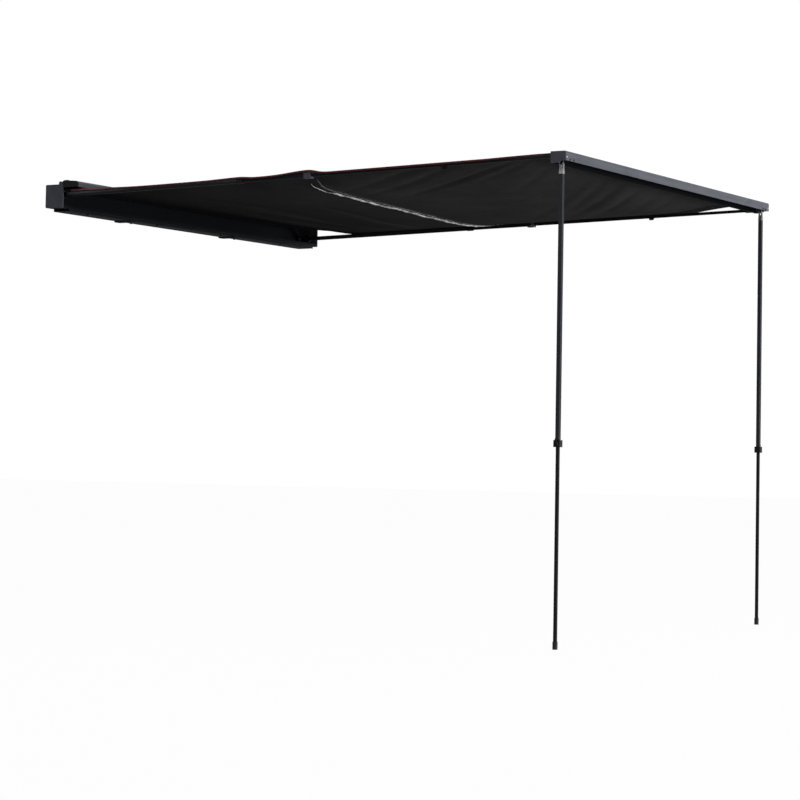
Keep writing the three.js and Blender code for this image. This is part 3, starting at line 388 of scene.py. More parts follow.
def plated(name, colour):
    """Zinc-plated steel with fine turning marks and a few dull spots"""
    material, tree, surface = new_material(name)
    brushed = noise(tree, object_coords(tree, (900.0, 900.0, 60.0)), 1.0, 2.0)
    spots = noise(tree, object_coords(tree), 240.0, 5.0)
    set_inputs(tree, surface, {
        "Base Color": mottled(tree, spots, colour, 1.0, 0.55, 0.4, 0.7),
        "Metallic": 0.95,
        "Roughness": spread(tree, brushed, 0.3, 0.7, 0.24, 0.42),
        "Normal": bump(tree, brushed, 0.12, 0.0001),
    })
    return material


def moulded_rubber(name):
    """Matt rubber, dusty where it has stood on the ground"""
    material, tree, surface = new_material(name)
    speckle = noise(tree, object_coords(tree), 500.0, 4.0)
    height = parts_of(tree, object_coords(tree))["Z"]
    low = spread(tree, height, GROUND, GROUND + DUST_HEIGHT, 1.0, 0.0)
    dusty = combine(tree, "MULTIPLY", low, spread(tree, speckle, 0.35, 0.65))
    set_inputs(tree, surface, {
        "Base Color": blend_colours(tree, dusty, (0.011, 0.011, 0.0115), (0.035, 0.034, 0.031)),
        "Specular IOR Level": 0.3,
        "Roughness": 0.86,
        "Normal": bump(tree, speckle, 0.35, 0.0003),
    })
    return material


def woven(name, colour, roughness, pitch=0.8 * MM, gloss=0.06, case_shade_length=None):
    """Coated woven cloth: a plain weave, slubs along the yarns, soft clouds of lighter and darker tone, and
    painted shade towards the case when its length is given
    """
    material, tree, surface = new_material(name)
    flat = uv_coords(tree)
    waves = {"Vector": flat, "Scale": WAVE_LENGTH / pitch, "Distortion": 0.6, "Detail": 1.0}
    warp, weft = (
        add_node(tree, "ShaderNodeTexWave", waves, bands_direction=axis).outputs["Fac"] for axis in "XY")
    weave = combine(tree, "MULTIPLY", warp, weft)
    slubs = noise(tree, uv_coords(tree, (60.0, 900.0, 1.0)), 1.0, 2.0)
    cloud = noise(tree, flat, 2.6, 6.0, 0.6)
    dust = noise(tree, flat, 38.0, 5.0, 0.65)
    clouded = mottled(tree, cloud, colour, 0.82, 1.16, 0.32, 0.68)
    dusted = blend_colours(tree, spread(tree, dust, 0.52, 0.78, 0.0, 0.5), clouded, shade(colour, 1.5))
    yarns = blend_colours(tree, spread(tree, slubs, 0.35, 0.75, 0.0, 0.4), dusted, shade(colour, 0.7))
    # Painted shade: the cloth darkens towards the case
    if case_shade_length is not None:
        painted_case_shade = spread(tree, parts_of(tree, flat)["Y"], 0.0, case_shade_length, 1.0, 0.0)
        yarns = blend_colours(tree, painted_case_shade, yarns, shade(colour, 0.4))
    soft = bump(tree, noise(tree, flat, 55.0, 3.0), 0.12, MM)
    set_inputs(tree, surface, {
        "Base Color": yarns,
        "Specular IOR Level": gloss,
        "Roughness": spread(tree, cloud, 0.3, 0.7, roughness - 0.05, roughness + 0.06),
        "Normal": bump(tree, weave, 0.25, 0.0003, soft),
    })
    return material


def glossy_tape(name, colour, shine_break_shade):
    """Welded seam tape, shiny and crinkled over its stitches: its colour is a painted reflection of that
    shine, darker in patches where the painted reflection breaks up
    """
    material, tree, surface = new_material(name)
    crinkle = noise(tree, uv_coords(tree, (30.0, 60.0, 1.0)), 1.0, 4.0)
    shine_breaks = noise(tree, uv_coords(tree, (9.0, 60.0, 1.0)), 1.0, 4.0, 0.7)
    set_inputs(tree, surface, {
        "Base Color": mottled(tree, shine_breaks, colour, shine_break_shade, 1.0, 0.4, 0.56),
        "Specular IOR Level": 0.1,
        "Roughness": spread(tree, crinkle, 0.3, 0.7, 0.18, 0.42),
        "Normal": bump(tree, crinkle, 0.5, 0.002),
    })
    return material


# Mesh helpers

def smoothstep(value, start, end):
    share = np.clip((value - start) / (end - start), 0.0, 1.0)
    return share * share * (3.0 - 2.0 * share)


def deselect():
    bpy.ops.object.select_all(action="DESELECT")


def grid_piece(name, points, flat):
    """Turns rows of points into one open sheet, with a UV map in metres of flat cloth"""
    rows, columns = points.shape[:2]
    mesh = bpy.data.meshes.new(name)
    index = np.arange(rows * columns).reshape(rows, columns)
    faces = np.stack([index[:-1, :-1], index[1:, :-1], index[1:, 1:], index[:-1, 1:]], axis=-1)
    faces = faces.reshape(-1, 4)
    mesh.from_pydata(points.reshape(-1, 3).tolist(), [], faces.tolist())
    layer = mesh.uv_layers.new(name="flat")
    layer.data.foreach_set("uv", flat.reshape(-1, 2)[faces.reshape(-1)].astype(np.float32).reshape(-1))
    mesh.polygons.foreach_set("use_smooth", [True] * len(faces))
    mesh.update()
    made = bpy.data.objects.new(name, mesh)
    bpy.context.scene.collection.objects.link(made)
    return made


def apply_modifier(piece, name, kind, **settings):
    deselect()
    bpy.context.view_layer.objects.active = piece
    piece.select_set(True)
    modifier = piece.modifiers.new(name, kind)
    for key, value in settings.items():
        setattr(modifier, key, value)
    bpy.ops.object.modifier_apply(modifier=name)


def thicken(piece, thickness):
    """Gives an open sheet its thickness, half of it to each side"""
    apply_modifier(piece, "thickness", "SOLIDIFY", thickness=thickness, offset=0.0)


def follow_rail(piece):
    """Gives the piece its own copy of its mesh"""
    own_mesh(piece)


# The canopy's shape: lengths in metres, and shares of the cloth's length that count from the case

TRACK_INSET = 0.017
TRACK_HEIGHT = 0.097
BEAD_RADIUS = 0.003
SOLID_THICKNESS = 0.0012
LEVEL_AT_CASE = 0.014
CLOTH_START = CASE_FRONT + TRACK_INSET
CLOTH_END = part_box("canopy")[0][1] + BEAD_RADIUS - SOLID_THICKNESS / 2
CLOTH_DEPTH = CLOTH_START - CLOTH_END

# Height over the arms' tops and over the rail, where it eases down to case and rail, and the length
# over which it steps down at each thinner tube
CLOTH_LIFT = 0.0026
RAIL_LIFT = 0.0009
CASE_BLEND = {-1: 0.2, 1: 0.135}
RAIL_BLEND = {-1: 0.86, 1: 0.82}
TUBE_STEP = 0.07

# Sag: how steeply it starts beside each arm, which eases along the near one, and where it fades in
FLAT_HALF = ARM_PIVOTS[1].x - 0.0144
SAG_POWER = {-1: 12.0, 1: 3.5}
NEAR_POWER_FALL = 5.0
NEAR_POWER_SHARES = (0.55, 0.8)
SAG_FADE = (-0.03, 0.13)

# Room over the lock collars and beside their levers
FIRST_PUCKER = 0.004
SECOND_PUCKER = {-1: 0.012, 1: 0.007}
PUCKER_LENGTH = 0.12
PUCKER_FADE = 0.05
LEVER_ROOM = 0.02
LEVER_INSET = 0.055
LEVER_SPREAD = 0.045

# Width drawn in at the case and the rail, hems, and the hems' loose ends beside the case
TUCK = 0.022
HEM_DROP = 0.009
HEM_ROLL = 0.012
HEM_ENDS = (0.02, 0.985)
HEM_INSET = 0.0008
TAIL_DROP = {-1: 0.011, 1: 0.003}
TAIL_ENDS = (0.011, 0.15)
TAIL_INSET = 0.0004
TAIL_BELLY = 0.0025

# How much a face's outward tilt counts as looking up
OUTWARD_WEIGHT = 0.6

# Band: how far its line is pulled towards the case at the near arm, and swells away from it beyond
BAND_PULL = 0.035
BAND_PULL_SHARE = 0.14
BAND_SWELL = 0.013
BAND_SWELL_SHARES = (0.25, 0.6)

# Length over which the underside lightens from its dark end at the case: painted shade, cast by the case
# and the vehicle
PAINTED_SHADE_LENGTH = 1.35

# Folds: where each starts and ends across and along the canopy, and how strongly it is drawn
FOLD_BOW = 0.008
FOLD_SHARES = (
    (0.73, 0.72, 0.27, 1.0, 0.7),
    (0.83, 0.68, 0.37, 1.0, 0.8),
    (0.85, 0.74, 0.43, 1.0, 0.5),
    (0.87, 0.7, 0.48, 1.0, 0.7),
    (0.97, 0.71, 0.56, 1.0, 0.7),
    (0.93, 0.78, 0.66, 1.0, 0.5),
    (0.88, 0.55, 0.3, 0.96, 0.5),
    (0.21, 0.54, 0.01, 0.84, 1.5),
    (0.27, 0.59, 0.0, 0.99, 1.7),
    (0.23, 0.63, 0.02, 0.97, 0.9),
    (0.19, 0.78, 0.0, 1.0, 1.1),
    (0.08, 0.6, 0.0, 0.9, 1.3),
    (0.35, 0.77, 0.12, 0.96, 0.7),
    (0.14, 0.53, 0.0, 0.79, 1.2),
    (0.29, 0.09, 0.99, 0.2, 1.8),
    (0.39, 0.22, 0.99, 0.25, 1.7),
    (0.38, 0.37, 0.97, 0.32, 1.6),
    (0.15, 0.21, 0.58, 0.26, 1.2),
    (0.57, 0.34, 1.0, 0.335, 1.0),
)


def arm_top(side, y):
    """Height of the arm's top at a place, stepping down at each thinner tube"""
    pivot = ARM_PIVOTS[side]
    out = pivot.y - y
    half = TUBE_HALVES[0]
    for place, thick, thin in zip(COLLAR_PLACES, TUBE_HALVES, TUBE_HALVES[1:]):
        half = half - smoothstep(out, place, place + TUBE_STEP) * (thick - thin)
    return pivot.z + out * ARM_RISE + half


def edge_height(side, y, along):
    """Height of the cloth over an arm, eased down to the track and the rail at its ends"""
    rest = arm_top(side, y) + CLOTH_LIFT
    case_side = 1.0 - smoothstep(along, 0.0, CASE_BLEND[side])
    rail_side = smoothstep(along, RAIL_BLEND[side], 1.0)
    front = RAIL_TOP + RAIL_LIFT
    return rest + (TRACK_HEIGHT - rest) * case_side + (front - rest) * rail_side


def between_ends(along, start, end):
    """Share that grows from 0 at the case, stays 1 between two places and falls to 0 at the rail"""
    return smoothstep(along, 0.0, start) * (1.0 - smoothstep(along, end, 1.0))


def half_width(along, cloth):
    """Half of the cloth's width, drawn in at the case and at the rail"""
    return cloth.width / 2 - TUCK * (1.0 - between_ends(along, 0.12, 0.86))


def freedom(x, along):
    """How freely the cloth hangs: 0 over the arms, 1 midway between them"""
    near_power = SAG_POWER[-1] - NEAR_POWER_FALL * smoothstep(along, *NEAR_POWER_SHARES)
    power = np.where(x < 0.0, near_power, SAG_POWER[1])
    return 1.0 - np.minimum(1.0, np.abs(x) / FLAT_HALF) ** power


def pucker(y, place):
    """Share that is 1 at a collar and fades along the arm, faster on its outer side"""
    offset = ARM_PIVOTS[-1].y - y - place
    length = np.where(offset > 0.0, PUCKER_FADE, PUCKER_LENGTH)
    return np.exp(-(offset / length) ** 2)


def collar_room(x, y):
    """How far the cloth rises over the collars and beside their levers"""
    first, second = (pucker(y, place) for place in COLLAR_PLACES)
    raised = FIRST_PUCKER * first + np.where(x < 0.0, SECOND_PUCKER[-1], SECOND_PUCKER[1]) * second
    at_arm = smoothstep(np.abs(x), FLAT_HALF - PUCKER_LENGTH, FLAT_HALF)
    inset = FLAT_HALF - np.abs(x)
    room = LEVER_ROOM * np.exp(-((inset - LEVER_INSET) / LEVER_SPREAD) ** 2)
    return raised * at_arm + room * np.maximum(first, second) * smoothstep(inset, 0.0, LEVER_INSET)


def ray_folds(x, y, corner, count, phase, start, end):
    """Folds that fan out from a corner of the cloth, with waves that don't repeat"""
    dx = x - corner[0]
    dy = y - corner[1]
    reach = np.hypot(dx, dy)
    angle = np.arctan2(dy, dx)
    strength = smoothstep(reach, start, start + 0.35) * (1.0 - smoothstep(reach, end * 0.45, end))
    wander = 0.35 * np.sin(reach * 5.1 + phase) + 0.2 * np.sin(reach * 9.7 + 2.0 * phase)
    ridges = np.sin(angle * count + phase + wander)
    return ridges * strength * (0.75 + 0.25 * np.sin(angle * count * 0.37 + phase))


def slant_folds(x, y, direction, pitch, centre, size, phase):
    """Folds that lie side by side along one direction, with waves that don't repeat"""
    turn = math.radians(direction)
    run = (x - centre[0]) * math.cos(turn) + (y - centre[1]) * math.sin(turn)
    side = -(x - centre[0]) * math.sin(turn) + (y - centre[1]) * math.cos(turn)
    envelope = np.exp(-(run / size[0]) ** 2 - (side / size[1]) ** 2)
    wander = 0.5 * np.sin(run * 4.3 + phase) + 0.3 * np.sin(run * 8.9 + 1.7 * phase)
    sharp = np.sin(2 * math.pi * side / pitch + wander)
    return envelope * (sharp + 0.3 * np.sin(4 * math.pi * side / pitch + phase + wander))


def loose_folds(x, y):
    """Soft folds from the two leg corners and the far arm, and others beside the case and the rail"""
    folds = ray_folds(x, y, corner=(-1.04, CLOTH_END - 0.03), count=15.0, phase=0.6, start=0.05, end=1.9)
    folds += 0.8 * slant_folds(
        x, y, direction=42.0, pitch=0.19, centre=(0.22, CLOTH_END + 0.38), size=(0.6, 0.34), phase=0.4)
    case_rays = ray_folds(x, y, corner=(1.5, -1.06), count=26.0, phase=1.9, start=0.25, end=2.9)
    folds += 0.8 * case_rays * smoothstep(y, -1.15, -0.85)
    folds += 0.5 * ray_folds(
        x, y, corner=(1.02, CLOTH_END - 0.02), count=13.0, phase=2.7, start=0.05, end=0.9)
    folds += 0.5 * slant_folds(
        x, y, direction=-12.0, pitch=0.24, centre=(-0.2, -0.42), size=(0.8, 0.3), phase=1.1)
    return folds


def drawn_folds(x, y, cloth):
    """Folds drawn tight between the arms, the rail and the case, each along its own line"""
    total = np.zeros_like(x)
    for across_start, along_start, across_end, along_end, strength in FOLD_SHARES:
        start = np.array([(across_start - 0.5) * cloth.width, CLOTH_START - CLOTH_DEPTH * along_start])
        end = np.array([(across_end - 0.5) * cloth.width, CLOTH_START - CLOTH_DEPTH * along_end])
        run = end - start
        share = np.clip(((x - start[0]) * run[0] + (y - start[1]) * run[1]) / (run @ run), 0.0, 1.0)
        bow = FOLD_BOW * np.sin(math.pi * share * 2.0 + across_start * 9.0)
        distance = np.hypot(x - start[0] - run[0] * share, y - start[1] - run[1] * share - bow)
        ridge = np.exp(-(distance / cloth.fold_width) ** 2)
        total += strength * (0.3 + 0.7 * np.sin(math.pi * share)) * ridge
    return total


def gathers(x, distance, height, reach, waves, wander, slow_waves):
    """Small gathers in a row along X that fade with the distance from their seam"""
    return height * np.exp(-(distance / reach) ** 2) * np.sin(x * waves + wander * np.sin(x * slow_waves))


def cloth_height(x, y, cloth, band):
    """Height of the cloth's middle surface"""
    along = np.clip((CLOTH_START - LEVEL_AT_CASE - y) / (CLOTH_DEPTH - LEVEL_AT_CASE * 2), 0.0, 1.0)
    across = np.clip(x / (ARM_PIVOTS[1].x * 2) + 0.5, 0.0, 1.0)
    near, far = (edge_height(side, y, along) for side in SIDES)
    free = freedom(x, along)
    sag = cloth.sag * free * np.sin(math.pi * along) * smoothstep(along, *SAG_FADE)
    folds = cloth.fold * loose_folds(x, y) + cloth.fold_rise * drawn_folds(x, y, cloth)
    folds = folds * (0.35 + 0.65 * between_ends(along, 0.2, 0.84)) * free ** 0.35
    folds = folds * between_ends(along, 0.1, 0.965)
    from_band = np.abs(CASE_FRONT - y - band.inner_edge(x, cloth.width) - band.width / 2) - band.width / 2
    at_band = gathers(x, from_band, height=0.0011, reach=0.035, waves=190.0, wander=2.0, slow_waves=31.0)
    at_track = gathers(x, along, height=0.0009, reach=0.05, waves=120.0, wander=1.5, slow_waves=17.0)
    at_track = at_track * smoothstep(along, 0.0, 0.02)
    edge = half_width(along, cloth)
    hem_drop = HEM_DROP * smoothstep(np.abs(x), edge - HEM_ROLL, edge) * between_ends(along, 0.2, 0.97)
    middle = near + (far - near) * across + collar_room(x, y) - sag
    return middle + folds + (at_band + at_track) * free - hem_drop


def cloth_plan(across, along, cloth):
    """Place in plan of a share of the cloth's width and length"""
    x = (across * 2.0 - 1.0) * half_width(along, cloth)
    y = CLOTH_START - CLOTH_DEPTH * along
    return x, y


def cloth_grid(cloth, band, across, along, drop=0.0):
    across, along = np.meshgrid(across, along)
    x, y = cloth_plan(across, along, cloth)
    z = cloth_height(x, y, cloth, band) - drop
    points = np.stack([x, y, z], axis=-1)
    flat = np.stack([(across - 0.5) * cloth.width, along * CLOTH_DEPTH], axis=-1)
    return points, flat


def give_sides(piece, upper, under):
    """Gives faces that look up or outward the first material and the rest the second"""
    piece.data.materials.clear()
    piece.data.materials.append(upper)
    piece.data.materials.append(under)
    for face in piece.data.polygons:
        outward = math.copysign(face.normal.x, face.normal.x * face.center.x)
        face.material_index = 0 if face.normal.z + OUTWARD_WEIGHT * outward > 0.0 else 1


# Studio

FLOOR_SIZE = 80.0
FLOOR_GAP = 0.0005
FLOOR_WHITE = 0.975
LAMP_TARGET = Vector((0.0, -1.2, 0.0))

# Lamps: the setting that holds the power, the place and the size
LAMPS = (
    ("key", (-2.2, -7.5, 4.4), 4.0),
    ("fill", (-7.0, -1.0, 1.5), 5.0),
    ("low", (3.0, -9.0, -1.4), 1.8),
)


class AWNING_OT_stage(bpy.types.Operator):
    """Build the pale floor, the even light, three lamps and the camera"""

    bl_idname = "awning.stage"
    bl_label = "Studio"

    def execute(self, context):
        settings = context.scene.awning_stage
        deselect()
        bpy.ops.mesh.primitive_plane_add(size=FLOOR_SIZE, location=(0.0, 0.0, GROUND - FLOOR_GAP))
        floor = context.object
        floor.name = "studio_floor"
        floor.data.materials.append(self.floor_material(settings))
        self.light_world(context, settings)
        for name, place, size in LAMPS:
            self.add_lamp(f"{name}_lamp", place, size, getattr(settings, name))
        self.add_camera(context, settings)
        return {"FINISHED"}

    @staticmethod
    def floor_material(settings):
        material, tree, surface = new_material("studio_floor")
        set_inputs(tree, surface, {
            "Base Color": (*settings.floor, 1.0), "Roughness": 0.9, "Specular IOR Level": 0.0})
        white = add_node(tree, "ShaderNodeEmission", {"Color": (1.0, 1.0, 1.0, 1.0), "Strength": 1.0})
        rays = add_node(tree, "ShaderNodeLightPath").outputs["Is Camera Ray"]
        share = combine(tree, "MULTIPLY", rays, FLOOR_WHITE)
        mix_shaders(tree, share, surface.outputs["BSDF"], white.outputs["Emission"], "Material Output")
        return material

    @staticmethod
    def light_world(context, settings):
        world = bpy.data.worlds.new("studio")
        context.scene.world = world
        world.use_nodes = True
        tree = world.node_tree
        light = tree.nodes["Background"]
        set_inputs(tree, light, {"Color": (0.97, 0.98, 1.0, 1.0), "Strength": settings.world})
        seen = add_node(tree, "ShaderNodeBackground", {"Color": (1.0, 1.0, 1.0, 1.0), "Strength": 1.0})
        rays = add_node(tree, "ShaderNodeLightPath").outputs
        shown = combine(tree, "MAXIMUM", rays["Is Camera Ray"], rays["Is Transmission Ray"])
        shown = combine(tree, "MAXIMUM", shown, rays["Is Glossy Ray"])
        mix_shaders(tree, shown, light.outputs["Background"], seen.outputs["Background"], "World Output")

    @staticmethod
    def add_lamp(name, place, size, power):
        deselect()
        bpy.ops.object.light_add(type="AREA", location=place)
        lamp = bpy.context.object
        lamp.name = name
        lamp.data.size = size
        lamp.data.energy = power
        aim = LAMP_TARGET - Vector(place)
        lamp.rotation_euler = aim.to_track_quat("-Z", "Y").to_euler()

    @staticmethod
    def add_camera(context, settings):
        deselect()
        bpy.ops.object.camera_add(location=settings.camera_place)
        camera = context.object
        turn, tip, roll = settings.azimuth, settings.elevation, settings.roll
        back = Vector((math.sin(turn) * math.cos(tip), -math.cos(turn) * math.cos(tip), math.sin(tip)))
        level = Vector((math.cos(turn), math.sin(turn), 0.0))
        upright = back.cross(level)
        right = level * math.cos(roll) + upright * math.sin(roll)
        up = upright * math.cos(roll) - level * math.sin(roll)
        facing = Matrix((right, up, back)).transposed().to_4x4()
        camera.matrix_world = Matrix.Translation(settings.camera_place) @ facing
        camera.data.sensor_width = 36.0
        camera.data.lens = settings.lens
        camera.data.shift_x = settings.shift_x
        camera.data.shift_y = settings.shift_y
        camera.data.clip_end = 200.0
        context.scene.camera = camera


# Finishes

# Depth under the outer tubes' top at which their painted highlight begins
HIGHLIGHT_DEPTH = 0.009
WELD_REACH = 0.02 * MM
EDGE_ROUND = 0.4 * MM

# Shifts of a box's corners to the inside that is darkened with painted shade: the channel without its back
# and underside, and the rail between its walls and under its roof
CHANNEL_INSIDE = ((-1.0, -1.0, 0.5 * MM), (1.0, -0.5 * MM, 1.0))
RAIL_INSIDE = ((-1.0, 2.4 * MM, -1.0), (1.0, -0.5 * MM, -0.5 * MM))


class AWNING_OT_finishes(bpy.types.Operator):
    """Give every carried-over construction piece its material and softened edges"""

    bl_idname = "awning.finishes"
    bl_label = "Finishes"

    def execute(self, context):
        chosen = self.materials(context.scene.awning_finish)
        for name, node in nodes.items():
            if name in ("canopy", "cross_band"):
                continue
            key = max((start for start in chosen if name.startswith(start)), key=len)
            node.data.materials.clear()
            node.data.materials.append(chosen[key])
            self.soften(node)
        return {"FINISHED"}

    def materials(self, colours):
        """Material of each group of nodes, by the start of their names"""
        grey, black = colours.grey, colours.black
        dull = {"gloss": 0.04, "metal": 0.1}
        grey_x = anodised("grey_aluminium_case", grey, 0.42, "X")
        # The rail's inside is darkened with painted shade
        rail_x = anodised("grey_aluminium_rail", grey, 0.42, "X", gloss=0.0, metal=0.4,
                          painted_shade_box=self.inside("lead_rail", *RAIL_INSIDE), painted_shade_share=0.05)
        # The outer arm tubes get a painted highlight along the top of their sides
        arm_y = anodised("dark_grey_aluminium_arm", shade(grey, 0.2), 0.46, "Y",
                         top_highlight=self.arm_painted_highlight(), **dull)
        black_x = anodised("black_aluminium_base", shade(black, 0.6), 0.5, "X", **dull)
        # The case channel's inside is darkened with painted shade
        channel_x = anodised("black_aluminium_channel", shade(black, 1.5), 0.45, "X", gloss=0.0, metal=0.4,
                             painted_shade_box=self.inside("case_channel", *CHANNEL_INSIDE), painted_shade_share=0.23)
        black_y = anodised("black_aluminium_arm", shade(black, 0.6), 0.5, "Y", **dull)
        black_z = anodised("black_aluminium_leg", shade(black, 1.3), 0.5, "Z", gloss=0.06)
        lower_z = anodised("black_aluminium_lower_leg", colours.lower_leg, 0.55, "Z", gloss=0.03, metal=0.1)
        cap = moulded("dark_plastic", colours.cap, 0.56)
        plastic = moulded("black_plastic", colours.plastic, 0.5)
        collar = moulded("collar_plastic", shade(colours.cap, 1.25), 0.5)
        silver = cast("cast_metal", (0.2, 0.2, 0.205))
        zinc = plated("zinc_steel", (0.05, 0.051, 0.054))
        bolt = plated("black_steel", (0.03, 0.03, 0.032))
        return {
            "lid": grey_x, "lead_rail": rail_x, "case_channel": channel_x,
            "base_track": black_x, "bracket": black_x, "shoulder": black_x,
            "arm_outer": arm_y, "arm_mid": black_y, "arm_inner": black_y, "arm_root": black_y,
            "leg_upper": black_z, "leg_lower": lower_z,
            "end_cap": cap, "rail_cap": cap, "arm_collar_second": collar,
            "lid_cap": plastic, "arm_collar_first": plastic, "arm_lever": plastic, "arm_tip": plastic,
            "arm_socket": plastic, "leg_bracket": plastic, "leg_clamp": plastic, "leg_lever": plastic,
            "leg_fork": silver, "leg_foot": moulded_rubber("foot_rubber"),
            "pivot_bolt": bolt, "leg_pin": bolt, "base_bolt": bolt, "bracket_bolt": zinc,
        }

    @staticmethod
    def arm_painted_highlight():
        """Line above which the outer tubes get a painted highlight: its height where Y is zero, and its
        rise along Y
        """
        pivot = ARM_PIVOTS[-1]
        return pivot.z + pivot.y * ARM_RISE + TUBE_HALVES[0] - HIGHLIGHT_DEPTH, ARM_RISE

    @staticmethod
    def inside(name, low_shift, high_shift):
        """A node's box with its two corners shifted"""
        low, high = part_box(name)
        return Vector(low) + Vector(low_shift), Vector(high) + Vector(high_shift)

    @staticmethod
    def soften(node):
        """Welds the loose triangles and rounds the sharp edges a little"""
        weld = node.modifiers.new("weld", "WELD")
        weld.merge_threshold = WELD_REACH
        edge = node.modifiers.new("edge", "BEVEL")
        edge.width = EDGE_ROUND
        edge.segments = 2
        edge.limit_method = "ANGLE"
        edge.angle_limit = math.radians(40.0)


# Cloth and sewn trim

class AWNING_OT_canopy(bpy.types.Operator):
    """Hang the canopy from the case's track to the rail, over both arms"""

    bl_idname = "awning.canopy"
    bl_label = "Canopy"

    def execute(self, context):
        cloth = context.scene.awning_cloth
        band = context.scene.awning_band
        colours = context.scene.awning_finish
        upper = woven("canopy_top", colours.upper, 0.8)
        under = woven("canopy_underside", colours.under, 0.74, gloss=0.0, case_shade_length=PAINTED_SHADE_LENGTH)
        # The hems' loose ends get painted light, a lighter copy of the top's colour
        painted_light_hem = woven("canopy_selvedge", colours.painted_light_hem, 0.8)
        columns = np.linspace(0.0, 1.0, round(cloth.width / cloth.cell) + 1)
        rows = np.linspace(0.0, 1.0, round(CLOTH_DEPTH / cloth.cell) + 1)
        canopy = grid_piece("canopy_cloth", *cloth_grid(cloth, band, columns, rows))
        thicken(canopy, cloth.thickness)
        hems = self.add_hems(cloth, band)
        tails = [self.hem_tail(cloth, band, side) for side in SIDES]
        for piece in (canopy, hems, *tails):
            give_sides(piece, painted_light_hem if piece in tails else upper, under)
            follow_rail(piece)
            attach(piece, "case")
        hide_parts("canopy")
        return {"FINISHED"}

    @staticmethod
    def add_hems(cloth, band):
        """Side hems: the cloth's edges folded under and sewn down"""
        rows = np.linspace(*HEM_ENDS, round(CLOTH_DEPTH / cloth.cell) + 1)
        wide = cloth.hem / cloth.width
        hems = []
        for start, end in ((HEM_INSET, wide), (1.0 - wide, 1.0 - HEM_INSET)):
            points, flat = cloth_grid(cloth, band, np.linspace(start, end, 5), rows, cloth.thickness * 1.2)
            hems.append(grid_piece("canopy_hems", points, flat))
        deselect()
        for hem in hems:
            hem.select_set(True)
        bpy.context.view_layer.objects.active = hems[0]
        bpy.ops.object.join()
        thicken(hems[0], cloth.thickness * 0.9)
        return hems[0]

    @staticmethod
    def hem_tail(cloth, band, side):
        """The hem's loose end, which hangs beside the arm where the cloth leaves the case"""
        start, end = TAIL_ENDS
        down, along = np.meshgrid(np.linspace(0.0, 1.0, 5), np.linspace(start, end, 50))
        x, y = cloth_plan(0.5 + side * (0.5 - TAIL_INSET), along, cloth)
        wave = 1.0 + 0.15 * np.sin(along * 90.0) + 0.1 * np.sin(along * 210.0 + 1.0)
        drop = TAIL_DROP[side] * wave * (1.0 - smoothstep(along, end * 0.1, end)) + cloth.thickness
        z = cloth_height(x, y, cloth, band) - drop * down
        x = x + side * TAIL_BELLY * np.sin(math.pi * down) * wave
        points = np.stack([x, y, z], axis=-1)
        flat = np.stack([side * (cloth.width / 2 + drop * down), along * CLOTH_DEPTH], axis=-1)
        tail = grid_piece(f"canopy_hem_tail_{SIDES[side]}", points, flat)
        thicken(tail, cloth.thickness * 0.9)
        return tail


class AWNING_OT_cross_band(bpy.types.Operator):
    """Sew the taped band across the underside, with a shiny edge towards the case"""

    bl_idname = "awning.cross_band"
    bl_label = "Cross band"

    def execute(self, context):
        cloth = context.scene.awning_cloth
        band = context.scene.awning_band
        dark = woven("band_webbing", (0.022, 0.022, 0.023), 0.8, pitch=1.4 * MM)
        # The tape's pale colour is a painted reflection of the clear tape's shine
        bright = glossy_tape("seam_tape", (0.7, 0.7, 0.7), 0.08)
        dim = glossy_tape("seam_piping", (0.2, 0.2, 0.2), 0.12)
        base = self.strip("cross_band_webbing", cloth, band, ends=(0.012, 0.988), edges=(0.0, 1.0),
                          drop=0.0016, thickness=0.0013)
        tape = self.strip("cross_band_tape", cloth, band, ends=(0.062, 0.985), edges=(0.0, 0.3),
                          drop=0.0034, thickness=0.0016, ruffle=0.003, wander=0.005, taper=0.1)
        piping = self.strip("cross_band_piping", cloth, band, ends=(0.052, 0.985), edges=(0.58, 0.69),
                            drop=0.0034, thickness=0.0014, ruffle=0.0008)
        for piece, material in ((base, dark), (tape, bright), (piping, dim)):
            piece.data.materials.append(material)
            follow_rail(piece)
            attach(piece, "case")
        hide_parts("cross_band")
        return {"FINISHED"}

    @staticmethod
    def strip(name, cloth, band, ends, edges, drop, thickness, ruffle=0.0, wander=0.0, taper=0.01):
        """A strip between two shares of the band's width, ruffled down from the cloth"""
        first, last = edges
        across, share = np.meshgrid(np.linspace(*ends, 420), np.linspace(first, last, 9))
        x = (across - 0.5) * cloth.width
        narrowed = 0.2 + 0.8 * smoothstep(across, ends[0], ends[0] + taper)
        share = first + (share - first) * narrowed
        sway = wander * np.sin(x * 30.0 + 1.1 * np.sin(x * 30.0) + 0.8 * np.sin(x * 13.0))
        y = CASE_FRONT - band.inner_edge(x, cloth.width) - band.width * share - sway
        wave = 0.5 + 0.5 * np.sin(x * 52.0 + 1.9 * np.sin(x * 11.3) + 1.2 * np.sin(x * 27.0))
        crown = np.sin(math.pi * (share - first) / (last - first))
        z = cloth_height(x, y, cloth, band) - drop - ruffle * wave * crown
        piece = grid_piece(name, np.stack([x, y, z], axis=-1), np.stack([x, share * band.width], axis=-1))
        thicken(piece, thickness)
        return piece


# Straps, at a place along Y where the swung arms clear them
STRAP_PLACE = -1.905
STRAP_WIDTH = 0.025
STRAP_THICKNESS = 0.0014
STRAP_GAP = 0.0002


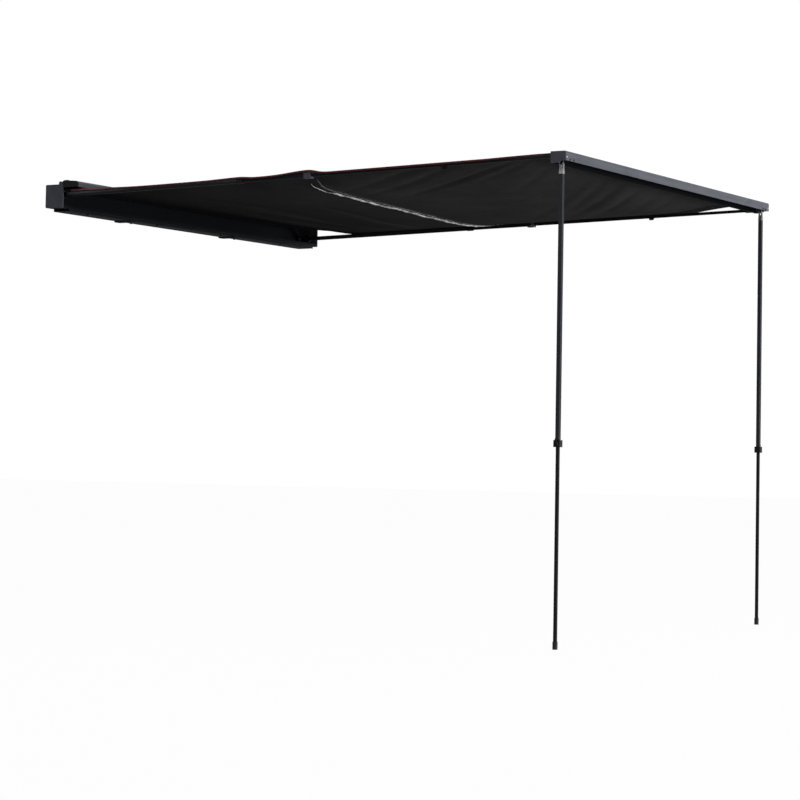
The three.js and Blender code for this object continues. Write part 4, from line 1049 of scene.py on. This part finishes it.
class AWNING_OT_straps(bpy.types.Operator):
    """Tie the canopy's side hems to the arms with one strap each"""

    bl_idname = "awning.straps"
    bl_label = "Arm straps"

    def execute(self, context):
        webbing = woven("strap_webbing", (0.014, 0.014, 0.015), 0.85, pitch=1.1 * MM)
        for side, name in SIDES.items():
            strap = self.sling(f"arm_strap_{name}", side)
            strap.data.materials.append(webbing)
            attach(strap, f"{name}_arm_inner")
        return {"FINISHED"}

    @staticmethod
    def sling(name, side):
        """A sling down from the hem and under the square tube, with its free end on the inner side"""
        thick = STRAP_THICKNESS
        pivot = ARM_PIVOTS[side]
        half = TUBE_HALVES[2] + thick * 0.6 + STRAP_GAP
        middle = pivot.z + (pivot.y - STRAP_PLACE) * ARM_RISE
        outer, inner = half * side, -half * side
        path = np.array([
            (outer, half), (outer, -half), (inner, -half), (inner, half),
            (inner, half + thick * 0.9),
            (inner - side * thick * 1.2, -half * 0.6),
            (inner - side * thick * 2.6, -half * 2.2),
        ])
        step, x = np.meshgrid(np.linspace(-0.5, 0.5, 5) * STRAP_WIDTH, pivot.x + path[:, 0])
        y = STRAP_PLACE + step
        z = middle + path[:, 1:] - step * ARM_RISE
        strap = grid_piece(name, np.stack([x, y, z], axis=-1), np.stack([y, z + x], axis=-1))
        apply_modifier(strap, "round", "SUBSURF", levels=2, render_levels=2)
        thicken(strap, thick)
        return strap


# Small fasteners, placed from the outer edge of the rail's cap

RAIL_CAP = 0.008
RIVET_INSET = 0.0115
RIVET_RISE = 0.008
SCREW_INSETS = {"outer": 0.038, "inner": 0.068}
SCREW_HEIGHT_SHARE = 0.34


class AWNING_OT_rail_screws(bpy.types.Operator):
    """Set the rivets and the leg brackets' screws in the rail's front face"""

    bl_idname = "awning.rail_screws"
    bl_label = "Rail screws"

    def execute(self, context):
        zinc = plated("bright_rivet", (0.62, 0.62, 0.63))
        black = moulded("black_screw", (0.012, 0.012, 0.013), 0.4)
        edge = RAIL_END + RAIL_CAP
        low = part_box("leg_bracket_near")[0][2]
        height = low + (RAIL_TOP - low) * SCREW_HEIGHT_SHARE
        for side, name in SIDES.items():
            rivet = self.turned_head(f"rail_rivet_{name}", radius=0.0036, height=0.0016)
            self.place(rivet, side * (edge - RIVET_INSET), height + RIVET_RISE)
            rivet.data.materials.append(zinc)
            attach(rivet, "rail")
            for rank, inset in SCREW_INSETS.items():
                screw = self.turned_head(
                    f"rail_screw_{name}_{rank}", radius=0.0042, height=0.0022, socket=0.0016)
                self.place(screw, side * (edge - inset), height)
                screw.data.materials.append(black)
                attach(screw, "rail")
        return {"FINISHED"}

    @staticmethod
    def turned_head(name, radius, height, socket=0.0):
        """A domed head, with a socket sunk into it where it has one"""
        deselect()
        bpy.ops.mesh.primitive_cylinder_add(vertices=24, radius=radius, depth=height)
        head = bpy.context.object
        head.name = name
        bpy.ops.object.mode_set(mode="EDIT")
        builder = bmesh.from_edit_mesh(head.data)
        for face in builder.faces:
            face.select_set(face.normal.z > 0.9)
        builder.select_flush_mode()
        bmesh.update_edit_mesh(head.data)
        bpy.ops.mesh.bevel(offset=height * 0.6, segments=3, affect="EDGES")
        if socket > 0.0:
            builder = bmesh.from_edit_mesh(head.data)
            for face in builder.faces:
                face.select_set(face.normal.z > 0.99 and face.calc_area() > radius * radius * 0.3)
            bmesh.update_edit_mesh(head.data)
            bpy.ops.mesh.inset(thickness=radius * 0.28)
            bpy.ops.transform.translate(value=(0.0, 0.0, -socket))
        bpy.ops.object.mode_set(mode="OBJECT")
        return head

    @staticmethod
    def place(head, x, z):
        """Turns the head's mesh to face outward and seats it on the rail's front"""
        half = head.dimensions.z / 2
        seat = Matrix.Translation((x, RAIL_FRONT - half * 0.9, z))
        head.data.transform(seat @ Matrix.Rotation(math.radians(90.0), 4, "X"))


# Panel and registration

class AWNING_PT_panel(bpy.types.Panel):
    """Lists the awning's operators"""

    bl_label = "Side awning"
    bl_idname = "AWNING_PT_panel"
    bl_space_type = "VIEW_3D"
    bl_region_type = "UI"
    bl_category = "Awning"

    def draw(self, context):
        for operator in OPERATORS:
            self.layout.operator(operator.bl_idname)


SETTINGS = {
    "awning_cloth": AwningClothSettings,
    "awning_band": AwningBandSettings,
    "awning_finish": AwningFinishSettings,
    "awning_stage": AwningStageSettings,
}
OPERATORS = (
    AWNING_OT_stage,
    AWNING_OT_finishes,
    AWNING_OT_canopy,
    AWNING_OT_cross_band,
    AWNING_OT_straps,
    AWNING_OT_rail_screws,
)


def register():
    for kind in (*SETTINGS.values(), *OPERATORS, AWNING_PT_panel):
        bpy.utils.register_class(kind)
    for name, kind in SETTINGS.items():
        setattr(bpy.types.Scene, name, PointerProperty(type=kind))


def unregister():
    for name in SETTINGS:
        delattr(bpy.types.Scene, name)
    for kind in reversed((*SETTINGS.values(), *OPERATORS, AWNING_PT_panel)):
        bpy.utils.unregister_class(kind)


def main():
    register()
    bpy.context.scene.view_settings.view_transform = "Standard"
    bpy.ops.awning.stage()
    bpy.ops.awning.finishes()
    bpy.ops.awning.canopy()
    bpy.ops.awning.cross_band()
    bpy.ops.awning.straps()
    bpy.ops.awning.rail_screws()


if __name__ == "__main__":
    main()
